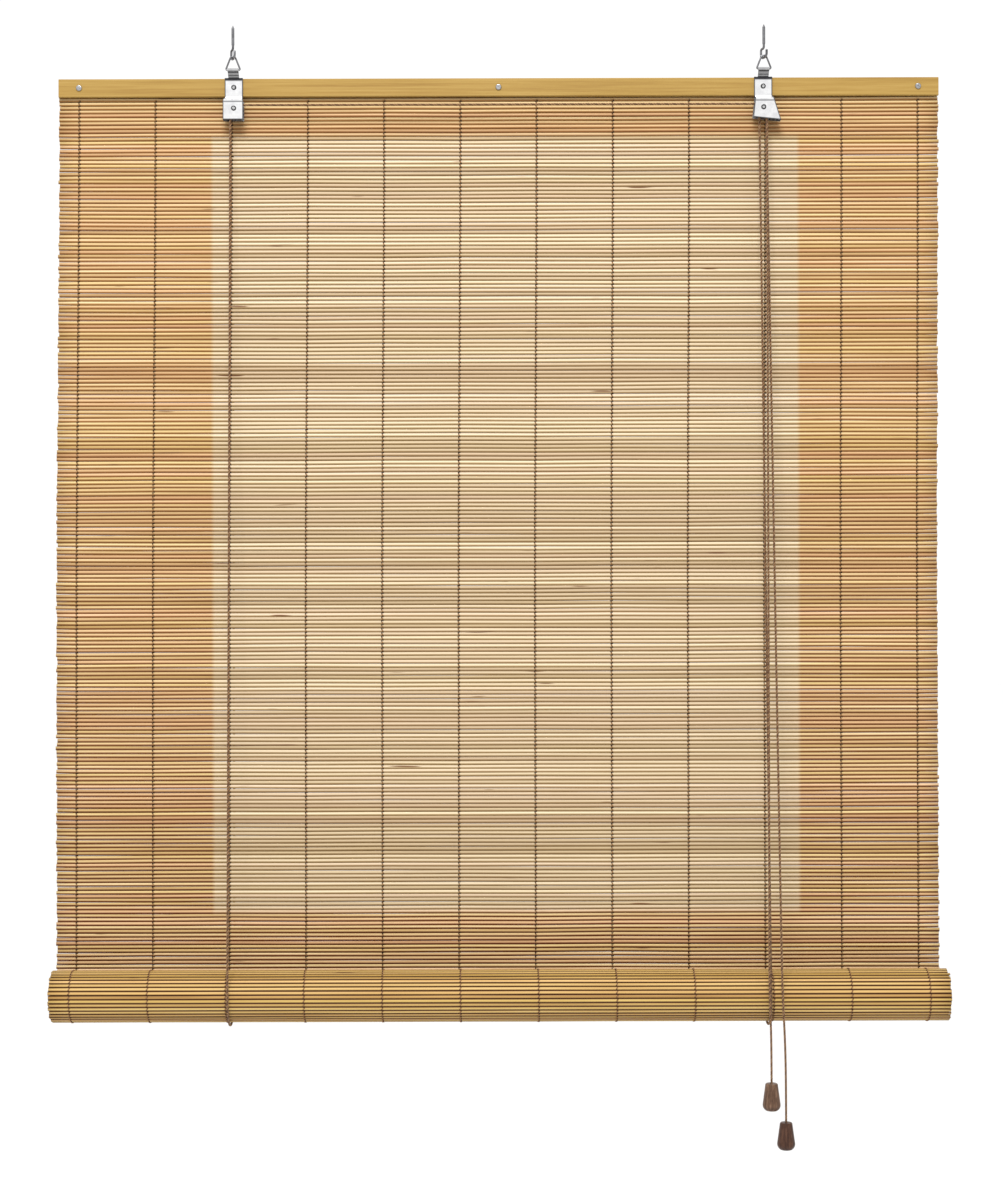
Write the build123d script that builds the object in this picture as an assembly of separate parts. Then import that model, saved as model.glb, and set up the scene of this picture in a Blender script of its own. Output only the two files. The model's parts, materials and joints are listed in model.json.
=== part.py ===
from build123d import *
import os
from math import acos, atan2, cos, degrees, hypot, pi, radians, sin, sqrt, tan

# Bamboo roll-up blind, hung by two wire bails from a pair of screw hooks.
# Millimetres. X runs along the head rail, Y to the window behind, Z up.
# The origin lies midway between the two hook shanks, at the ceiling they are screwed into.
# Two lift cords run down behind the curtain, under the roll and up its front to the brackets.

# ---- Driving sizes: head rail and curtain ----
rail_length = 900.0
rail_height = 18.4
front_batten_thickness = 5.0
rear_batten_thickness = 5.0
curtain_drop = 915.0            # from the rail's lower edge to the middle of the roll
slat_width = 3.4
slat_gap = 0.6
slat_thickness = 1.2
hem_drop = 38.0                 # the curtain's end, folded back, reaches this far below the rail
thread_count = 12
thread_edge = 20.5              # from the slats' ends to the first warp thread
thread_width = 1.2
thread_thickness = 0.5
hem_skew = 8.0                  # the folded end's threads lie this far nearer the middle
batten_edge = 0.6               # the battens' long edges are eased by this

# ---- Roll ----
roll_radius = 27.4
roll_length = 908.0
roll_half_turns = 14
roll_pitch = 2.4                # from one turn to the next
roll_sheet = 1.3
lath_thickness = 6.0            # the bottom lath that the curtain is wound on
lath_seat = 0.15                # the lath's edges clear the innermost turn by this

# ---- Where things hang ----
bracket_spacing = 541.0         # between the middles of the left and right brackets
hook_drop = 14.0                # from the ceiling to the bight of the hook
curtain_offset = 13.5           # the curtain hangs this far behind the hooks, which balances the roll

# ---- Screw hooks and wire bails ----
shank_radius = 1.5
shank_length = 20.0
shank_point = 3.0
shank_tip_radius = 0.2
hook_wire_radius = 1.2
hook_reach = 5.4                # from the shank's middle to the middle of the hook's back
hook_shoulder = 4.5             # from the ceiling to the bend below the shank
hook_tip_drop = 7.5             # from the ceiling to the hook's open end
hook_shoulder_bend = 2.2
hook_bight_bend = 4.0
hook_twist = 25.0               # the hooks are not screwed in quite square
bail_wire_radius = 0.9
bail_width = 15.0
bail_height = 19.0              # from the base wire to where the two legs would meet
bail_apex_bend = 3.1
bail_corner_bend = 1.2
bail_wire_gap = 0.4             # the wire's two ends meet in the middle of the base
hang_gap = 0.3                  # the bail's apex hangs this close over the hook's wire

# ---- Brackets ----
sheet = 0.8
plate_width = 18.4
left_pocket_width = 20.8
pocket_step = 4.5               # the pocket starts this far below the rail
pocket_flare_drop = 2.0
neck_width = 11.0
neck_rise = 7.0                 # from the rail's top to the middle of the bail's base wire
curl_wall = 0.8
running_clearance = 0.05
left_bracket_foot = 11.4        # from the axle down to the bracket's lower edge
right_foot_inner = 10.0
right_foot_outer = 13.0
flare_crease = 10.6             # from the axle to the right bracket's outer edge, at the crease
flare_foot = 17.7               # the same at its foot
inner_crease = 8.6
inner_foot = 10.6

# ---- Wheels, lock and rivets ----
axle_drop = 13.9                # from the rail's lower edge to the wheel axles
left_axle_shift = 0.8           # the axles sit this far towards the middle of the blind
right_axle_shift = 0.5
mouth_drop = 10.5               # the pull cords leave the bracket this far below the axle
axle_radius = 1.25
wheel_radius = 4.5
wheel_floor_radius = 2.4        # the bottom of the groove that the cord lies in
wheel_width = 4.2
groove_ease = 0.3               # the groove is wider than the cord by this, each side
wheel_side_gap = 0.2
rivet_head_radius = 2.6
rivet_head_height = 0.8
rivet_tail_radius = 2.1
head_rounding = 0.6             # the share of a head's height that is rounded
lock_radius = 4.1
lock_ridge = 0.35
lock_ridge_count = 16
lock_pin_radius = 1.2
lock_gap = 0.1
lock_travel = 6.0
spacer_wall = 1.2

# ---- Cords ----
cord_radius = 1.25
soft_clearance = 0.3
end_gap = 0.15
sling_rise = 0.5                # the slings' arcs are struck this far above the roll's middle
sling_slack = 0.15
right_cord_shift = 4.0          # the right lift cord leans outwards by this on its way down

# ---- Fasteners ----
screw_radius = 1.4
screw_head_radius = 3.0
screw_head_height = 1.5
screw_length = 12.0
screw_slot_width = 0.6
screw_slot_depth = 0.45
screw_slot_turn = 30.0
screw_inset = 21.0
bracket_screw_radius = 1.1
bracket_screw_length = 4.2
staple_wire = 0.5
staple_leg = 4.0
staple_drop = 3.0
staple_bend = 0.7
leg_gap = 0.1
knot_radius = 2.4

# ---- Pull knobs ----
knob_height = 27.0
knob_top_radius = 6.2
knob_widest_radius = 8.9
knob_widest_height = 6.5        # above the knob's foot
knob_foot_radius = 5.6
knob_bore_radius = 1.5
knob_pocket_radius = 4.2
knob_pocket_depth = 10.0
knob_knot_radius = 3.4
knob_stem_gap = 0.1
knob_shoulder = 0.8

# ---- The pull cords' lie: (x, in front of the roll, above the roll's middle) ----
straight_drop = 16.4            # the cords leave the bracket's mouth straight down for this far
bend_share = 0.45               # a corner's arc takes this share of its shorter run
inner_pull_lie = [
    (268.3, 4.7, 40.7),
    (268.1, 6.1, 7.7),
    (269.9, 5.5, -40.3),
    (269.9, 5.5, -83.3),
]
outer_pull_lie = [
    (280.4, 4.5, 40.7),
    (281.1, 6.1, 5.7),
    (283.6, 5.6, -44.3),
    (284.3, 5.4, -84.3),
    (284.3, 5.4, -122.3),
]

# ---- Cutting tools reach well past what they cut ----
past = 1.0
far_past = 50.0

# ---- Levels worked out from the sizes above ----
bight_z = -hook_drop
bail_slope = bail_width / 2 / hypot(bail_width / 2, bail_height)
apex_seat = bail_apex_bend - bail_wire_radius - hook_wire_radius - hang_gap
base_wire_z = bight_z - apex_seat + bail_apex_bend / bail_slope - bail_height
rail_top = base_wire_z - neck_rise
rail_mid = rail_top - rail_height / 2
rail_bottom = rail_top - rail_height
axle_z = rail_bottom - axle_drop
crease_z = rail_bottom - pocket_step
roll_z = rail_bottom - curtain_drop

front_face = curtain_offset - slat_thickness / 2 - front_batten_thickness
hem_y = curtain_offset + slat_thickness + 2 * thread_thickness
rear_face = hem_y + slat_thickness / 2 + rear_batten_thickness
thread_front = curtain_offset - slat_thickness / 2 - thread_thickness
thread_back = curtain_offset + slat_thickness / 2 + thread_thickness
roll_y = thread_front - soft_clearance - roll_radius

slat_pitch = slat_width + slat_gap
groove_radius = wheel_floor_radius + running_clearance + cord_radius
back_plate_front = front_face - sheet
rear_wheel_y = back_plate_front - wheel_side_gap - wheel_width / 2
front_wheel_y = rear_wheel_y - wheel_width - wheel_side_gap
pocket_front = front_wheel_y - wheel_width / 2 - wheel_side_gap
plate_y = back_plate_front - sheet / 2
left_x = -bracket_spacing / 2
right_x = bracket_spacing / 2
left_axle_x = left_x + left_axle_shift
right_axle_x = right_x - right_axle_shift
mouth_z = axle_z - mouth_drop

parts = {}


def thread_places():
    """The x of each warp thread."""
    reach = rail_length / 2 - thread_edge
    step = 2 * reach / (thread_count - 1)
    return [-reach + step * i for i in range(thread_count)]


def bar_y(radius, start, end, x, z):
    """A round bar along Y."""
    return Pos(x, start, z) * extrude(Plane.XZ * Circle(radius), amount=start - end)


def rod(start, end, radius):
    """A round rod from one point to another."""
    along = Vector(*end) - Vector(*start)
    return extrude(Plane(origin=start, z_dir=along) * Circle(radius), amount=along.length)


def tube(path, radius):
    """A round cord or wire along a path."""
    return sweep(Plane(origin=path @ 0, z_dir=path % 0) * Circle(radius), path=path)


def panel(points, front, back):
    """A flat piece with its outline in X and Z, between two depths."""
    face = Plane.XZ * make_face(Polyline(*points, close=True))
    return Pos(0, back, 0) * extrude(face, amount=back - front)


def bent_sheet(points, thickness, width, centre_x):
    """A sheet bent along its length: points are its middle line, in Y and Z."""
    line = [complex(*point) for point in points]
    runs = [(b - a) / abs(b - a) for a, b in zip(line, line[1:])]
    sides = []
    for i in range(len(line)):
        before, after = runs[max(i - 1, 0)], runs[min(i, len(runs) - 1)]
        mitre = (before + after) / abs(before + after)
        sides.append(1j * mitre * thickness / 2 / (mitre * before.conjugate()).real)
    there = [p + side for p, side in zip(line, sides)]
    back = [p - side for p, side in zip(line, sides)]
    outline = [(c.real, c.imag) for c in there + back[::-1]]
    face = Plane.YZ * make_face(Polyline(*outline, close=True))
    return Pos(centre_x, 0, 0) * extrude(face, amount=width / 2, both=True)


# ---- Head rail: two battens screwed together through the curtain ----
screw_places = [-rail_length / 2 + screw_inset, 0.0, rail_length / 2 - screw_inset]


def batten(front, thickness):
    """One bamboo batten, its long edges eased."""
    body = Pos(0, front + thickness / 2, rail_mid) * Box(rail_length, thickness, rail_height)
    body = chamfer(body.edges().filter_by(Axis.X), batten_edge)
    hole = screw_radius + running_clearance
    for x in screw_places:
        body -= bar_y(hole, front - past, front + thickness + past, x, rail_mid)
    return body


def pan_screw(x, z, head_back, radius, length, head_radius, head_height):
    """A screw with a domed, slotted head, driven towards the window."""
    head = bar_y(head_radius, head_back - head_height, head_back, x, z)
    head = fillet(head.edges().sort_by(Axis.Y)[0], head_height * head_rounding)
    slot = Box(2 * head_radius, 2 * screw_slot_depth, screw_slot_width)
    head -= Pos(x, head_back - head_height, z) * Rot(0, screw_slot_turn, 0) * slot
    return head + bar_y(radius, head_back, head_back + length, x, z)


front_batten = batten(front_face, front_batten_thickness)
bracket_hole = bracket_screw_radius + running_clearance
for x in (left_x, right_x):
    back = front_face + front_batten_thickness
    front_batten -= bar_y(bracket_hole, front_face - past, back, x, rail_mid)
parts["front_batten"] = front_batten
batten_screw = (front_face, screw_radius, screw_length, screw_head_radius, screw_head_height)
parts["batten_screws"] = Compound(
    children=[pan_screw(x, rail_mid, *batten_screw) for x in screw_places]
)


# ---- Curtain: bamboo slats woven on warp threads, its top end folded back behind ----
def slats_between(top, bottom):
    """Heights of the slats from one level down to another."""
    count = int((top - bottom + slat_gap) // slat_pitch)
    return [top - slat_width / 2 - slat_pitch * i for i in range(count)]


def rail_slats():
    """Heights of the slats held in the rail, which part to let the screws through."""
    clear = screw_radius + running_clearance
    above = slats_between(rail_top, rail_mid + clear)
    below = slats_between(rail_mid - clear, rail_bottom)
    return above + below


def slat_layer(y, bottom):
    """One layer of slats, from the rail's top down to a level."""
    heights = rail_slats() + slats_between(rail_bottom - slat_gap, bottom)
    return [Pos(0, y, z) * Box(rail_length, slat_thickness, slat_width) for z in heights]


def thread_layer(y, bottom, skew):
    """The threads that show on the front and the back of a layer."""
    length = rail_bottom - bottom
    strips = []
    for x in thread_places():
        place = x - skew if x > 0 else x + skew
        for side in (-1, 1):
            depth = y + side * (slat_thickness + thread_thickness) / 2
            strip = Box(thread_width, thread_thickness, length)
            strips.append(Pos(place, depth, rail_bottom - length / 2) * strip)
    return strips


hem_bottom = rail_bottom - hem_drop
parts["curtain_slats"] = Compound(children=slat_layer(curtain_offset, roll_z))
parts["warp_threads"] = Compound(children=thread_layer(curtain_offset, roll_z, 0.0))
parts["hem_slats"] = Compound(children=slat_layer(hem_y, hem_bottom))
parts["hem_threads"] = Compound(children=thread_layer(hem_y, hem_bottom, hem_skew))


# ---- Roll: the rest of the curtain in one spiral, wound on a lath ----
def roll_arcs(side):
    """The half turns of one face of the rolled sheet, from the outside in."""
    outer = roll_radius - roll_sheet / 2 - roll_pitch / 4
    arcs = []
    for i in range(roll_half_turns):
        lower = i % 2 == 0
        centre = roll_pitch / 4 if lower else -roll_pitch / 4
        radius = outer - i * roll_pitch / 2 + side * roll_sheet / 2
        arcs.append(CenterArc((centre, 0), radius, 180 if lower else 0, 180))
    return arcs


outer_faces, inner_faces = roll_arcs(1), roll_arcs(-1)
outside_end = Line(outer_faces[0] @ 1, inner_faces[0] @ 1)
inside_end = Line(outer_faces[-1] @ 0, inner_faces[-1] @ 0)
spiral = make_face([*outer_faces, *inner_faces, outside_end, inside_end])
roll_plane = Plane(origin=(0, roll_y, roll_z), x_dir=(0, 1, 0), z_dir=(1, 0, 0))
parts["curtain_roll"] = extrude(roll_plane * spiral, amount=roll_length / 2, both=True)

inner_radius = inner_faces[-1].radius - lath_seat
lath_width = 2 * sqrt(inner_radius**2 - (lath_thickness / 2) ** 2)
lath_section = Pos(-roll_pitch / 4, 0) * Rectangle(lath_width, lath_thickness)
parts["bottom_lath"] = extrude(roll_plane * lath_section, amount=rail_length / 2, both=True)


# ---- Screw hooks and wire bails ----
def screw_hook(x):
    """A screw hook: a pointed shank above the ceiling line and a wire bight below it."""
    points = [
        (0, 0),
        (0, -hook_shoulder),
        (hook_reach, -hook_shoulder),
        (hook_reach, bight_z),
        (-hook_reach, bight_z),
        (-hook_reach, -hook_tip_drop),
    ]
    bends = [hook_shoulder_bend, hook_shoulder_bend, hook_bight_bend, hook_bight_bend]
    wire = tube(Plane.YZ * FilletPolyline(*points, radius=bends), hook_wire_radius)
    tip = Pos(0, -hook_reach, -hook_tip_drop) * Sphere(hook_wire_radius)
    body_length = shank_length - shank_point
    shank = Pos(0, 0, body_length / 2) * Cylinder(shank_radius, body_length)
    cone = Cone(shank_radius, shank_tip_radius, shank_point)
    point = Pos(0, 0, shank_length - shank_point / 2) * cone
    return Pos(x, 0, 0) * Rot(0, 0, hook_twist) * (wire + tip + shank + point)


def bail(x):
    """A triangle of wire: its base lies in the bracket's curl and its apex over the hook."""
    half = bail_width / 2
    points = [
        (bail_wire_gap / 2, 0),
        (half, 0),
        (0, bail_height),
        (-half, 0),
        (-bail_wire_gap / 2, 0),
    ]
    bends = [bail_corner_bend, bail_apex_bend, bail_corner_bend]
    path = Plane.XZ * FilletPolyline(*points, radius=bends)
    return Pos(x, 0, base_wire_z) * tube(path, bail_wire_radius)


for side, x in (("left", left_x), ("right", right_x)):
    parts[f"{side}_screw_hook"] = screw_hook(x)
    parts[f"{side}_bail"] = bail(x)


# ---- Brackets: a bent front sheet over a flat back plate, with the wheels between ----
def front_sheet(x, foot_z, outline):
    """The bracket's front: neck and curl, plate on the rail, and the pocket below it."""
    pocket_y = pocket_front - sheet / 2
    profile = [
        (pocket_y, foot_z),
        (pocket_y, crease_z),
        (plate_y, rail_bottom - sheet),
        (plate_y, rail_top + sheet / 2),
    ]
    blank = bent_sheet(profile, sheet, 4 * plate_width, x)
    body = blank & panel(outline, pocket_front - far_past, front_face)
    neck_line = [
        (plate_y, rail_top - neck_rise / 2),
        (plate_y, rail_top + sheet / 2),
        (bail_wire_radius, base_wire_z - bail_wire_radius - curl_wall / 2),
    ]
    neck = bent_sheet(neck_line, sheet, neck_width, x)
    bore = bail_wire_radius + running_clearance
    curl_place = Pos(x, 0, base_wire_z) * Rot(0, 90, 0)
    curl = curl_place * Cylinder(bore + curl_wall, neck_width)
    return body + neck + curl - curl_place * Cylinder(bore, 2 * neck_width)


def drilled(body, x, axle_x):
    """A bracket piece with its screw hole and its axle hole."""
    body -= bar_y(bracket_hole, -far_past, far_past, x, rail_mid)
    return body - bar_y(axle_radius + running_clearance, -far_past, far_past, axle_x, axle_z)


plate_top = rail_top + sheet / 2
half_plate = plate_width / 2
left_foot = axle_z - left_bracket_foot
left_half = left_pocket_width / 2
left_outline = [
    (left_x - half_plate, plate_top),
    (left_x + half_plate, plate_top),
    (left_x + half_plate, crease_z),
    (left_x + left_half, crease_z - pocket_flare_drop),
    (left_x + left_half, left_foot),
    (left_x - left_half, left_foot),
    (left_x - left_half, crease_z - pocket_flare_drop),
    (left_x - half_plate, crease_z),
]
left_front = front_sheet(left_x, left_foot, left_outline)
left_wall = [
    (left_x - left_half, crease_z - pocket_flare_drop),
    (left_x - left_half + sheet, crease_z - pocket_flare_drop),
    (left_x - left_half + sheet, left_foot),
    (left_x - left_half, left_foot),
]
left_front += panel(left_wall, pocket_front - sheet / 2, back_plate_front)
parts["left_bracket"] = drilled(left_front, left_x, left_axle_x)

# The right bracket's outer wall is the ramp that the lock roller wedges against.
outer_foot = axle_z - right_foot_outer
inner_foot_z = axle_z - right_foot_inner
ramp_top = (right_axle_x + flare_crease, crease_z)
ramp_foot = (right_axle_x + flare_foot, outer_foot)
right_outline = [
    (right_x - half_plate, plate_top),
    (right_x + half_plate, plate_top),
    (right_x + half_plate, rail_bottom),
    ramp_top,
    ramp_foot,
    (right_axle_x - inner_foot, inner_foot_z),
    (right_axle_x - inner_crease, crease_z),
    (right_x - half_plate, rail_bottom),
]
ramp_angle = atan2(flare_foot - flare_crease, crease_z - outer_foot)
wall_across = sheet / cos(ramp_angle)
ramp_outline = [
    ramp_top,
    ramp_foot,
    (ramp_foot[0] - wall_across, outer_foot),
    (ramp_top[0] - wall_across, crease_z),
]
right_front = front_sheet(right_x, outer_foot, right_outline)
right_front += panel(ramp_outline, pocket_front - sheet / 2, back_plate_front)
parts["right_bracket"] = drilled(right_front, right_x, right_axle_x)


def back_plate(outline):
    """The flat plate between the bracket and the rail, which closes the pocket's back."""
    return panel(outline, back_plate_front, front_face)


parts["left_back_plate"] = drilled(back_plate(left_outline), left_x, left_axle_x)

# ---- Cord lock: a ridged roller, guided by its pin in a sloping slot of the back plate ----
ramp_run = Vector(sin(ramp_angle), 0, -cos(ramp_angle))
lock_x = right_axle_x + groove_radius + cord_radius + lock_gap + lock_radius
wall_reach = (lock_radius + lock_gap + sheet) / cos(ramp_angle)
lock_z = crease_z - (lock_x + wall_reach - ramp_top[0]) / tan(ramp_angle)
lock_front, lock_back = pocket_front + soft_clearance, back_plate_front - soft_clearance
pin_end = front_face + sheet / 2
lock_core = bar_y(lock_radius - lock_ridge, lock_front, lock_back, lock_x, lock_z)
for i in range(lock_ridge_count):
    turn = radians(360 / lock_ridge_count * i)
    ridge_x = lock_x + (lock_radius - lock_ridge) * cos(turn)
    ridge_z = lock_z + (lock_radius - lock_ridge) * sin(turn)
    lock_core += bar_y(lock_ridge, lock_front, lock_back, ridge_x, ridge_z)
parts["lock_roller"] = lock_core + bar_y(lock_pin_radius, lock_back, pin_end, lock_x, lock_z)

slot_width = 2 * (lock_pin_radius + running_clearance)
slot_face = SlotCenterToCenter(lock_travel, slot_width)
slot_middle = Vector(lock_x, back_plate_front, lock_z) + ramp_run * (lock_travel / 2)
slot_plane = Plane(origin=slot_middle, x_dir=ramp_run, z_dir=(0, 1, 0))
slot = extrude(slot_plane * slot_face, amount=2 * sheet, both=True)
right_plate = back_plate(right_outline) - slot
parts["right_back_plate"] = drilled(right_plate, right_x, right_axle_x)
bracket_screw = (
    back_plate_front - sheet,
    bracket_screw_radius,
    bracket_screw_length + 2 * sheet,
    rivet_head_radius,
    rivet_head_height,
)
parts["bracket_screws"] = Compound(
    children=[pan_screw(x, rail_mid, *bracket_screw) for x in (left_x, right_x)]
)


# ---- Wheels on their riveted axles ----
def axle(x):
    """A rivet through the pocket, with a domed head in front and a flat one behind."""
    front = pocket_front - sheet
    head = bar_y(rivet_head_radius, front - rivet_head_height, front, x, axle_z)
    head = fillet(head.edges().sort_by(Axis.Y)[0], rivet_head_height * head_rounding)
    shaft = bar_y(axle_radius, front, front_face, x, axle_z)
    return head + shaft + bar_y(rivet_tail_radius, front_face, front_face + sheet, x, axle_z)


def wheel(x, y):
    """A grooved wheel that the cord runs over."""
    groove_half = cord_radius + groove_ease
    bore = Cylinder(axle_radius + running_clearance, 2 * wheel_width)
    body = Cylinder(wheel_radius, wheel_width) - bore
    groove_middle = wheel_floor_radius + groove_half
    ring = Cylinder(2 * wheel_radius, 2 * groove_half) - Cylinder(groove_middle, 2 * wheel_width)
    body -= ring + Torus(groove_middle, groove_half)
    return Pos(x, y, axle_z) * Rot(90, 0, 0) * body


parts["left_axle"] = axle(left_axle_x)
parts["right_axle"] = axle(right_axle_x)
parts["left_wheel"] = wheel(left_axle_x, front_wheel_y)
parts["right_front_wheel"] = wheel(right_axle_x, front_wheel_y)
parts["right_rear_wheel"] = wheel(right_axle_x, rear_wheel_y)
spacer_start = back_plate_front
spacer_end = front_wheel_y + wheel_width / 2 + wheel_side_gap
spacer = bar_y(axle_radius + spacer_wall, spacer_end, spacer_start, left_axle_x, axle_z)
bore = axle_radius + running_clearance
spacer -= bar_y(bore, spacer_end - past, spacer_start + past, left_axle_x, axle_z)
parts["left_axle_spacer"] = spacer


# ---- Lift cords: held all the way from the rail, round the roll, to the brackets ----
def cord_plane(y):
    """A plane facing the room, with X across and Z up."""
    return Plane(origin=(0, y, 0), x_dir=(1, 0, 0), z_dir=(0, -1, 0))


over = axle_z + groove_radius
crossing_path = Wire(
    [
        CenterArc((left_axle_x, axle_z), groove_radius, 90, 90),
        Line((left_axle_x, over), (right_axle_x, over)),
        CenterArc((right_axle_x, axle_z), groove_radius, 0, 90),
        Line((right_axle_x + groove_radius, axle_z), (right_axle_x + groove_radius, mouth_z)),
    ]
)
turn_path = Wire(
    [
        CenterArc((right_axle_x, axle_z), groove_radius, 0, 180),
        Line((right_axle_x + groove_radius, axle_z), (right_axle_x + groove_radius, mouth_z)),
    ]
)
parts["crossing_cord"] = tube(cord_plane(front_wheel_y) * crossing_path, cord_radius)
parts["right_turn_cord"] = tube(cord_plane(rear_wheel_y) * turn_path, cord_radius)

sling_back = thread_back + soft_clearance + cord_radius
sling_front = roll_y - roll_radius - soft_clearance - cord_radius - sling_slack
sling_radius = (sling_back - sling_front) / 2
sling_y = (sling_back + sling_front) / 2
sling_z = roll_z + sling_rise


def tangent_turn(top_y, top_z, behind):
    """Angle on the sling's circle where a straight cord from above touches it."""
    across, up = top_y - sling_y, top_z - sling_z
    spread = degrees(acos(sling_radius / hypot(across, up)))
    return degrees(atan2(up, across)) + (-spread if behind else spread)


def circle_point(x, angle):
    """A point of the sling's circle."""
    y = sling_y + sling_radius * cos(radians(angle))
    return Vector(x, y, sling_z + sling_radius * sin(radians(angle)))


def lift_cord(side, top_x, top_y, bottom_x):
    """One lift cord: its run behind the curtain, its sling under the roll and its run in front."""
    knot_top = Vector(bottom_x, rear_face + soft_clearance / 2 + cord_radius, rail_mid)
    wheel_top = Vector(top_x, top_y, axle_z)
    back_turn = tangent_turn(knot_top.Y, knot_top.Z, True)
    front_turn = tangent_turn(wheel_top.Y, wheel_top.Z, False)
    arc = CenterArc((0, 0), sling_radius, front_turn, 360 - front_turn + back_turn)
    sling_plane = Plane(origin=(bottom_x, sling_y, sling_z), x_dir=(0, 1, 0), z_dir=(1, 0, 0))
    parts[f"{side}_cord_sling"] = tube(sling_plane * arc, cord_radius)
    for name, top, turn in (("rear", knot_top, back_turn), ("front", wheel_top, front_turn)):
        foot = circle_point(bottom_x, turn)
        along = (foot - top).normalized()
        start, end = top + along * end_gap, foot - along * end_gap
        parts[f"{side}_lift_cord_{name}"] = rod(start, end, cord_radius)


left_cord_x = left_axle_x - groove_radius
right_cord_x = right_axle_x - groove_radius
lift_cord("left", left_cord_x, front_wheel_y, left_cord_x)
lift_cord("right", right_cord_x, rear_wheel_y, right_cord_x + right_cord_shift)


# ---- Knots and staples that hold the lift cords to the back of the rail ----
def staple(x):
    """A wire staple over the cord, its legs in the rear batten."""
    half = cord_radius + staple_wire + running_clearance * 2
    back = rear_face + soft_clearance / 2 + 2 * cord_radius + staple_wire + running_clearance
    inside = rear_face - staple_leg
    points = [(x - half, inside), (x - half, back), (x + half, back), (x + half, inside)]
    path = Pos(0, 0, staple_z) * FilletPolyline(*points, radius=staple_bend)
    return tube(path, staple_wire), half


staple_z = rail_mid - staple_drop
rear_batten = batten(hem_y + slat_thickness / 2, rear_batten_thickness)
knots, staples = [], []
for x in (left_cord_x, right_cord_x + right_cord_shift):
    piece, half = staple(x)
    staples.append(piece)
    leg_end = rear_face - staple_leg - leg_gap
    for leg_x in (x - half, x + half):
        hole = staple_wire + running_clearance
        rear_batten -= bar_y(hole, leg_end, rear_face + past, leg_x, staple_z)
    knot_y = rear_face + knot_radius + running_clearance
    knots.append(Pos(x, knot_y, rail_mid + knot_radius) * Sphere(knot_radius))
parts["rear_batten"] = rear_batten
parts["cord_staples"] = Compound(children=staples)
parts["lift_cord_knots"] = Compound(children=knots)

# ---- Pull cords: free from the right bracket's mouth, over the roll's front, to the knobs ----
def pull_route(y, lie):
    """The points of one pull cord: out of the bracket's mouth, then where it lies."""
    mouth_x = right_axle_x + groove_radius
    roll_front = roll_y - roll_radius
    start = [(mouth_x, y, mouth_z), (mouth_x, y, mouth_z - straight_drop)]
    return start + [(x, roll_front - ahead, roll_z + up) for x, ahead, up in lie]


def route_radii(points):
    """The largest arc that each corner of a route has room for."""
    radii = []
    for before, corner, after in zip(points, points[1:], points[2:]):
        into, out = Vector(*corner) - Vector(*before), Vector(*after) - Vector(*corner)
        half_turn = radians(into.get_angle(out)) / 2
        radii.append(bend_share * min(into.length, out.length) / tan(half_turn))
    return radii


def knob_profile():
    """Half the section of a turned knob, its foot at zero."""
    widest = (knob_widest_radius, knob_widest_height)
    foot_edge = (knob_foot_radius, 0)
    straight = [
        foot_edge,
        (knob_pocket_radius, 0),
        (knob_pocket_radius, knob_pocket_depth),
        (knob_bore_radius, knob_pocket_depth),
        (knob_bore_radius, knob_height),
        (knob_top_radius - knob_shoulder, knob_height),
        (knob_top_radius, knob_height - knob_shoulder),
        widest,
    ]
    return make_face([Polyline(*straight), RadiusArc(widest, foot_edge, knob_widest_height)])


inner_route = pull_route(front_wheel_y, inner_pull_lie)
outer_route = pull_route(rear_wheel_y, outer_pull_lie)
for name, route in (("inner", inner_route), ("outer", outer_route)):
    radii = route_radii(route)
    print(name, "pull cord radii", [round(r, 1) for r in radii])
    path = FilletPolyline(*route, radius=radii)
    cord = tube(path, cord_radius)
    swept_length = cord.volume / (pi * cord_radius**2)
    print(name, "pull cord length", round(path.length, 1), round(swept_length, 1))
    parts[f"{name}_pull_cord"] = cord
    end_x, end_y, end_z = route[-1]
    foot = Pos(end_x, end_y, end_z - knob_height)
    parts[f"{name}_pull_knob"] = foot * revolve(Plane.XZ * knob_profile(), Axis.Z)
    ball_z = knob_pocket_depth - knob_knot_radius - knob_stem_gap
    ball = Pos(0, 0, ball_z) * Sphere(knob_knot_radius)
    stem = Pos(0, 0, (ball_z + knob_height) / 2) * Cylinder(cord_radius, knob_height - ball_z)
    parts[f"{name}_pull_knot"] = foot * (ball + stem)

os.makedirs("parts", exist_ok=True)
for name, shape in parts.items():
    export_step(shape, f"parts/{name}.step")
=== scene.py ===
import json
import math
import random

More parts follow.
